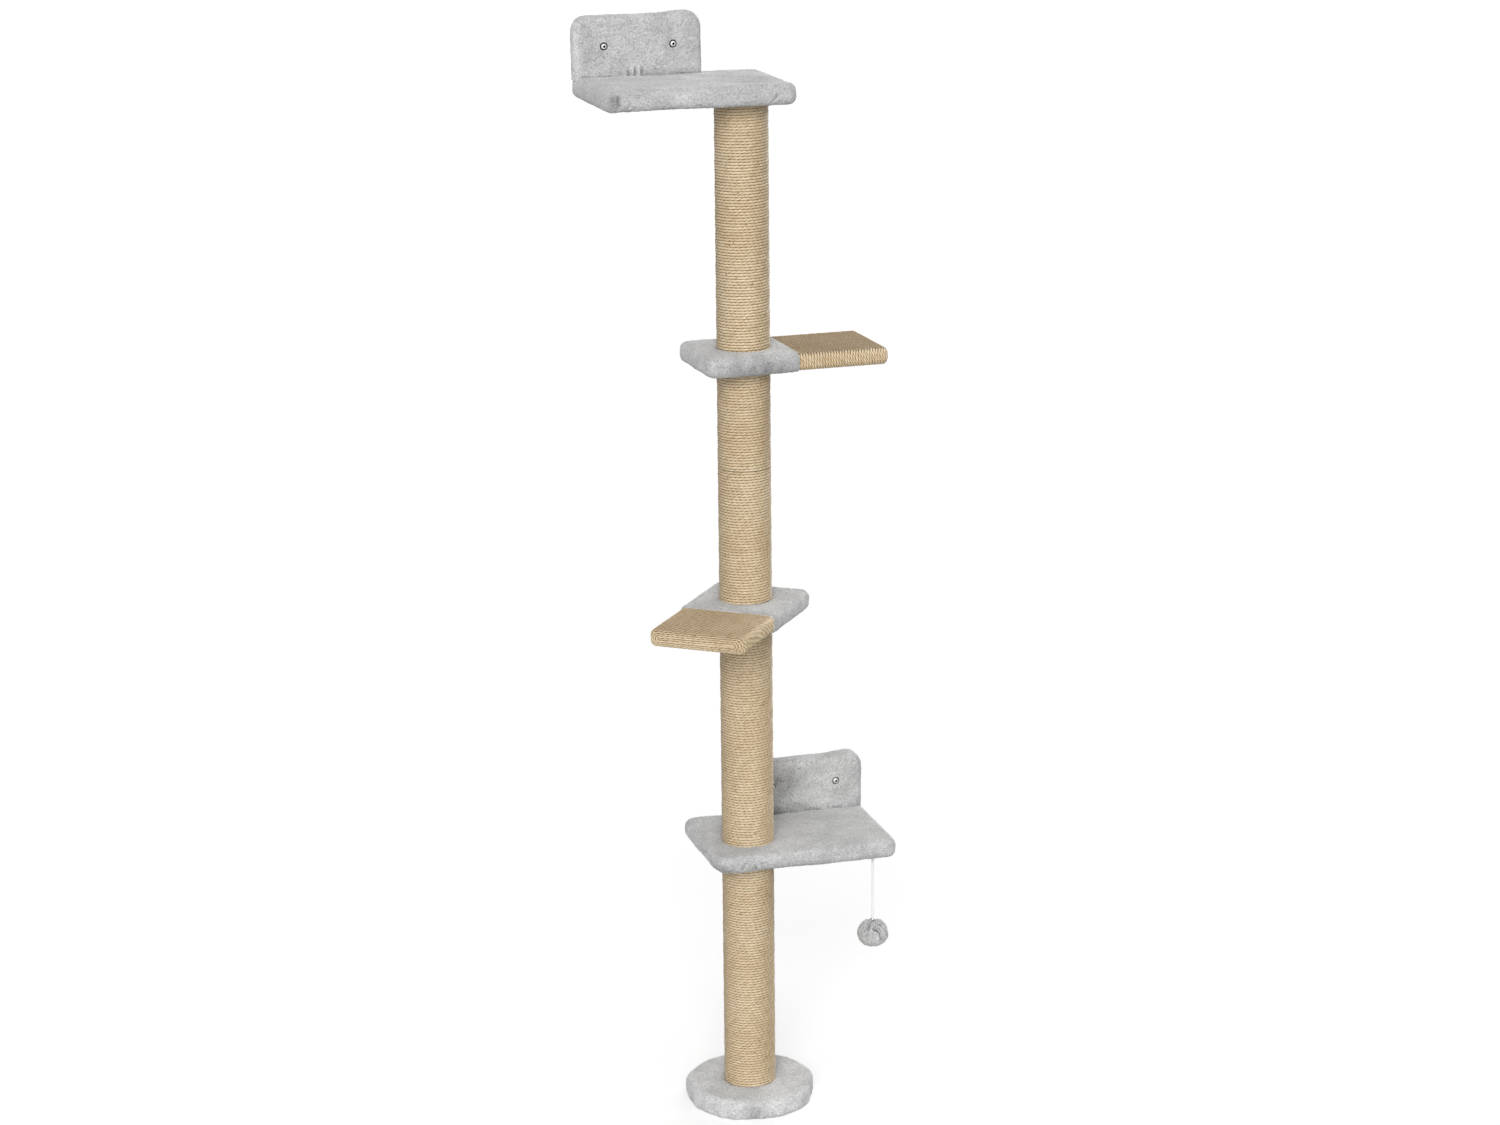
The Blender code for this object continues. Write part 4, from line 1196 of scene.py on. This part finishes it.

# Creases across the front, each a run of directions from the middle, its depth, width and painted shade
BALL_CREASES = (
    (((-0.21, -0.76, 0.62), (0.03, -0.87, 0.50), (0.19, -0.94, 0.29),
      (0.24, -0.97, -0.02), (0.30, -0.91, -0.30)), 0.15, 0.062, 0.56),
    (((-0.79, -0.46, 0.40), (-0.53, -0.60, 0.60), (-0.32, -0.36, 0.88)), 0.09, 0.062, 0.34),
    (((0.11, -0.75, 0.65), (0.32, -0.85, 0.41)), 0.08, 0.062, 0.34),
    (((0.12, -0.59, 0.80), (0.45, -0.45, 0.77)), 0.09, 0.080, 0.36),
    (((-0.21, -0.89, 0.40), (-0.27, -0.96, -0.03)), 0.05, 0.090, 0.14),
    (((-0.82, -0.57, -0.04), (-0.59, -0.77, 0.25)), 0.07, 0.080, 0.20),
)


def crease_nearness(unit, corners, width):
    """How near each direction is to a run of straight creases, one on the crease itself."""
    nearest = np.full(len(unit), 9.0)
    for start, end in zip(corners, corners[1:]):
        nearest = np.minimum(nearest, line_gap(unit, start, end)[0])
    return np.exp(-((nearest / width) ** 2))


def ball(name):
    """Plush gathered round a stuffing: folds run down from the tie, and one long crease down the right."""
    low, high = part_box("toy_ball")
    centre = (low + high) / 2
    half = (high - low) / 2
    columns, rows = BALL_COLUMNS, BALL_ROWS
    polar = np.repeat(np.linspace(0, math.pi, rows + 1), columns)
    angle = np.tile(np.arange(columns) * math.tau / columns, rows + 1)
    unit = np.stack([np.sin(polar) * np.cos(angle), np.sin(polar) * np.sin(angle), np.cos(polar)], -1)
    radius = np.full(len(unit), 0.985)
    shade = np.zeros(len(unit))
    for start, drift, reach, depth, wide in BALL_FOLDS:
        path = math.radians(start) + math.radians(drift) * polar
        aside = np.abs((angle - path + math.pi) % math.tau - math.pi)
        aside = aside * np.sin(np.clip(polar, 0.15, math.pi - 0.15))
        fade = 1 / (1 + np.exp((polar - reach) / 0.16))
        radius -= depth * np.exp(-((aside / wide) ** 2)) * fade
        radius += depth * 0.45 * np.exp(-(((aside - 2.1 * wide) / (1.5 * wide)) ** 2)) * fade
        # Painted shade in the fold
        shade += 0.22 * np.exp(-((aside / wide) ** 2)) * fade
    for corners, depth, width, dark in BALL_CREASES:
        near = crease_nearness(unit, corners, width)
        radius -= depth * near
        radius += depth * 0.35 * crease_nearness(unit, corners, width * 2.4) * (1 - near)
        shade += dark * near
    # Folds meet at the foot, and the tie draws the top in
    foot = np.exp(-((math.pi - polar) / 0.5) ** 2)
    radius -= 0.06 * foot * (1 - np.abs(np.sin(3.5 * angle)))
    radius -= 0.15 * np.exp(-(polar / 0.20) ** 2)
    size = unit * half.x
    radius += noise(size, 0.011, 72) * 0.026
    gaps = tufts(size, 0.0034, 71) - TUFT_LEVEL
    radius -= gaps * 0.045
    # Painted shade in the hollows between tufts
    shade += np.clip(gaps, 0, 0.4) * 0.6
    places = unit * radius[:, None] * np.array(half)[None, :] + np.array(centre)[None, :]
    mesh = bpy.data.meshes.new(name)
    mesh.from_pydata(places.tolist(), [], ring_faces(columns, rows + 1))
    made = finish_as(linked(name, mesh), "ball_plush")
    add_layer(mesh, "shade", "FLOAT", "POINT", np.clip(shade, 0, 0.6))
    work = bmesh.new()
    work.from_mesh(mesh)
    ends = [v for v in work.verts if v.index < columns], [v for v in work.verts if v.index >= rows * columns]
    for pole in ends:
        middle = sum((v.co for v in pole), Vector()) / len(pole)
        bmesh.ops.pointmerge(work, verts=pole, merge_co=middle)
    work.to_mesh(mesh)
    work.free()
    mesh.shade_smooth()
    return place_on(made, "toy", "toy_ball")


STRING_POINTS = 25
STRING_SMOOTH = 4
KNOT_POINTS = 40
KNOT_SMOOTH = 3
KNOT_TURNS = 2.2
KNOT_REACH = 0.0014
KNOT_RISE = 0.0006
KNOT_DROP = 0.0040
KNOT_RADIUS = 0.0011


def tube(name, points, radius, smooth):
    """A round tube through these points, as a curve of one spline."""
    curve = bpy.data.curves.new(name, "CURVE")
    curve.dimensions = "3D"
    curve.bevel_depth = radius
    curve.bevel_resolution = smooth
    curve.use_fill_caps = True
    spline = curve.splines.new("POLY")
    spline.points.add(len(points) - 1)
    for point, place in zip(spline.points, points):
        point.co = (*place, 1.0)
    return linked(name, curve)


def knot(name, x, y, top):
    """The elastic's own end, taken round it under the loop and drawn tight against the loop."""
    points = []
    for index in range(KNOT_POINTS):
        share = index / (KNOT_POINTS - 1)
        angle = math.tau * KNOT_TURNS * share
        reach = KNOT_REACH * math.sin(math.pi * share) ** 0.5
        height = top + KNOT_RISE - KNOT_DROP * share
        points.append((x + reach * math.cos(angle), y + reach * math.sin(angle), height))
    drawn = tube(name, points, KNOT_RADIUS, KNOT_SMOOTH)
    mesh = evaluated_mesh(drawn)
    bpy.data.objects.remove(drawn, do_unlink=True)
    weld(mesh, 1e-6)
    return place_on(finish_as(linked(name, mesh), "elastic"), "toy")


def string(name):
    """The round elastic, straight under the ball's weight."""
    low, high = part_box("toy_string")
    x, y = (low.x + high.x) / 2, (low.y + high.y) / 2
    shares = [index / (STRING_POINTS - 1) for index in range(STRING_POINTS)]
    points = [(x, y, high.z + (low.z - high.z) * share) for share in shares]
    made = tube(name, points, (high.x - low.x) / 2, STRING_SMOOTH)
    made.data.materials.append(MATERIALS["elastic"])
    place_on(made, "toy", "toy_string")
    return made, (x, y, high.z), high.z - low.z


# Build every piece

for post, seed, start in (
    ("1", 3, 0.4), ("2", 5, 2.9), ("3_lower", 7, 1.3), ("3_upper", 11, -0.8), ("4", 13, 4.4),
):
    post_winding("rope_on_post_" + post, "rope_" + post, seed, start)
step_winding("rope_on_lower_step", "lower_step", LOWER_STEP_TURN, 17)
step_winding("rope_on_upper_step", "upper_step", UPPER_STEP_TURN, 19)

base_cover("plush_on_base", 23)
shelf_cover("plush_on_low_shelf", "low_shelf", 29, True, low_shelf_shape)
shelf_cover("plush_on_top_shelf", "top_shelf", 31, False, top_shelf_shape, top_shelf_shading)
plate_cover(
    "plush_on_low_plate", "low_shelf_plate", 37,
    # Painted shadow of the post across the plate, and painted shade along its foot
    shading=patches_of(
        ((0.096, 0.103, 0.536), (0.032, 0.02, 0.028), 0.44),
        ((0.098, 0.103, 0.487), (0.050, 0.02, 0.009), 0.44),
        ((0.060, 0.103, 0.510), (0.030, 0.02, 0.040), 0.16),
        ((0.160, 0.103, 0.484), (0.020, 0.02, 0.005), 0.18),
    ),
    drawn_down=0.0030,
)
plate_cover(
    "plush_on_top_plate", "top_shelf_plate", 41,
    gather=((-0.1668, 0.0012, 0.0030), (-0.1612, -0.0038, 0.0017), (-0.1558, 0.0050, 0.0032),
            (-0.1501, -0.0038, 0.0016), (-0.1444, 0.0044, 0.0032), (-0.1390, -0.0034, 0.0017)),
    # Painted light on the plate's left side and on two ridges of the gather, painted shade along its foot,
    # and a darker soft patch higher up
    shading=patches_of(
        ((-0.2525, 0.118, 1.84), (0.010, 0.05, 0.09), -0.24),
        ((-0.100, 0.103, 1.793), (0.060, 0.02, 0.005), 0.12),
        ((-0.1558, 0.100, 1.790), (0.0030, 0.02, 0.009), -0.14),
        ((-0.1444, 0.100, 1.790), (0.0030, 0.02, 0.009), -0.14),
        ((-0.090, 0.103, 1.836), (0.030, 0.02, 0.020), 0.09),
    ),
)
step_cover("plush_on_lower_step", "lower_step", LOWER_STEP_TURN, 43)
step_cover(
    "plush_on_upper_step", "upper_step", UPPER_STEP_TURN, 47,
    patches_of(((0.012, -0.089, 1.322), (0.062, 0.02, 0.018), 0.50)),
)

for shelf in ("low_shelf", "top_shelf"):
    for side, turn in (("left", 0.10), ("right", -0.04)):
        wall_screw = f"{shelf}_plate_wall_screw_{side}"
        screw("cross_" + wall_screw, wall_screw, *WALL_SCREW_HEAD, WALL_SCREW_RADIUS, turn)
        joining_screw = f"{shelf}_plate_joining_screw_{side}"
        screw("cross_" + joining_screw, joining_screw, *JOINING_SCREW_HEAD, JOINING_SCREW_RADIUS, turn)
        washer(f"cup_{shelf}_plate_washer_{side}", f"{shelf}_plate_washer_{side}")

toy_ball = ball("gathered_ball")
toy_string, string_exit, string_run = string("elastic_string")
toy_knot = knot("elastic_knot", *string_exit)

for part in frame["record"]["subparts"]:
    materials = frame["nodes"][part["node"]].data.materials
    materials.clear()
    materials.append(MATERIALS[part["material_slot"]])


# Stage, light and camera

FLOOR_SIZE = 200.0
FLOOR_BELOW = 0.0002
FLOOR_COLOUR = (0.50, 0.50, 0.50, 1.0)
FLOOR_GLOW = 0.58
ROOM_LIGHT = 0.17
# Each lamp's bearing and height in degrees, its level and how soft it is
LAMPS = {
    "key": (-19.0, 23.0, 0.85, 32.0),
    "left": (-110.0, 15.0, 0.07, 40.0),
    "top": (20.0, 75.0, 0.21, 50.0),
    "back": (135.0, 25.0, 0.45, 40.0),
}


def bare_tree(block_of_nodes):
    """The empty node tree of a material or world."""
    block_of_nodes.use_nodes = True
    block_of_nodes.node_tree.nodes.clear()
    return block_of_nodes.node_tree


def add_floor():
    """A plain pale floor that looks white to the camera and keeps the shadow."""
    work = bmesh.new()
    bmesh.ops.create_grid(work, x_segments=1, y_segments=1, size=FLOOR_SIZE)
    floor = from_form("floor", work)
    floor.location = (0, 0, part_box("base_plush")[0].z - FLOOR_BELOW)
    material = bpy.data.materials.new("pale_floor")
    tree = bare_tree(material)
    seen = add_node(tree, "ShaderNodeLightPath", {}).outputs["Is Camera Ray"]
    level = add_node(tree, "ShaderNodeMath", {0: seen, 1: FLOOR_GLOW}, operation="MULTIPLY")
    glow = add_node(tree, "ShaderNodeEmission", {"Strength": level.outputs[0]})
    plain = add_node(tree, "ShaderNodeBsdfDiffuse", {"Color": FLOOR_COLOUR})
    both = add_node(tree, "ShaderNodeAddShader", {0: plain.outputs[0], 1: glow.outputs[0]})
    add_node(tree, "ShaderNodeOutputMaterial", {"Surface": both.outputs[0]})
    floor.data.materials.append(material)


def add_world():
    """A white backdrop for the camera, and a dim even room for light and reflections."""
    world = bpy.data.worlds.new("studio")
    bpy.context.scene.world = world
    tree = bare_tree(world)
    seen = add_node(tree, "ShaderNodeLightPath", {}).outputs["Is Camera Ray"]
    level = add_node(tree, "ShaderNodeMath", {0: seen, 1: ROOM_LIGHT}, operation="MAXIMUM")
    room = add_node(tree, "ShaderNodeBackground", {"Color": (1, 1, 1, 1), "Strength": level.outputs[0]})
    add_node(tree, "ShaderNodeOutputWorld", {"Surface": room.outputs[0]})


def add_lamp(name, bearing, height, level, spread):
    """A soft far lamp; level is how bright a white face turned to it renders."""
    data = bpy.data.lights.new(name, "SUN")
    data.angle = math.radians(spread)
    data.energy = level * math.pi
    bearing, height = math.radians(bearing), math.radians(height)
    away = Vector((
        math.cos(height) * math.sin(bearing), -math.cos(height) * math.cos(bearing), math.sin(height),
    ))
    linked(name, data).rotation_euler = away.to_track_quat("Z", "Y").to_euler()


def add_camera():
    """The camera at the picture's own place, angle and framing."""
    data = bpy.data.cameras.new("camera")
    data.sensor_fit = "HORIZONTAL"
    data.sensor_width = CAMERA_SENSOR
    data.lens = CAMERA_FOCUS / PICTURE_WIDTH * CAMERA_SENSOR
    data.shift_x = -PICTURE_OFFSET[0] / PICTURE_WIDTH
    data.shift_y = PICTURE_OFFSET[1] / PICTURE_WIDTH
    data.clip_end = 100.0
    level = math.cos(CAMERA_PITCH)
    ahead = Vector((
        -math.sin(CAMERA_BEARING) * level, math.cos(CAMERA_BEARING) * level, -math.sin(CAMERA_PITCH),
    ))
    right = ahead.cross(Vector((0, 0, 1))).normalized()
    up = right.cross(ahead)
    c, s = math.cos(CAMERA_ROLL), math.sin(CAMERA_ROLL)
    matrix = Matrix((c * right + s * up, -s * right + c * up, -ahead)).transposed().to_4x4()
    matrix.translation = CAMERA_PLACE
    camera = linked("camera", data)
    camera.matrix_world = matrix
    bpy.context.scene.camera = camera


add_floor()
add_world()
for lamp_name, lamp in LAMPS.items():
    add_lamp(lamp_name, *lamp)
add_camera()
bpy.context.scene.view_settings.view_transform = "Standard"
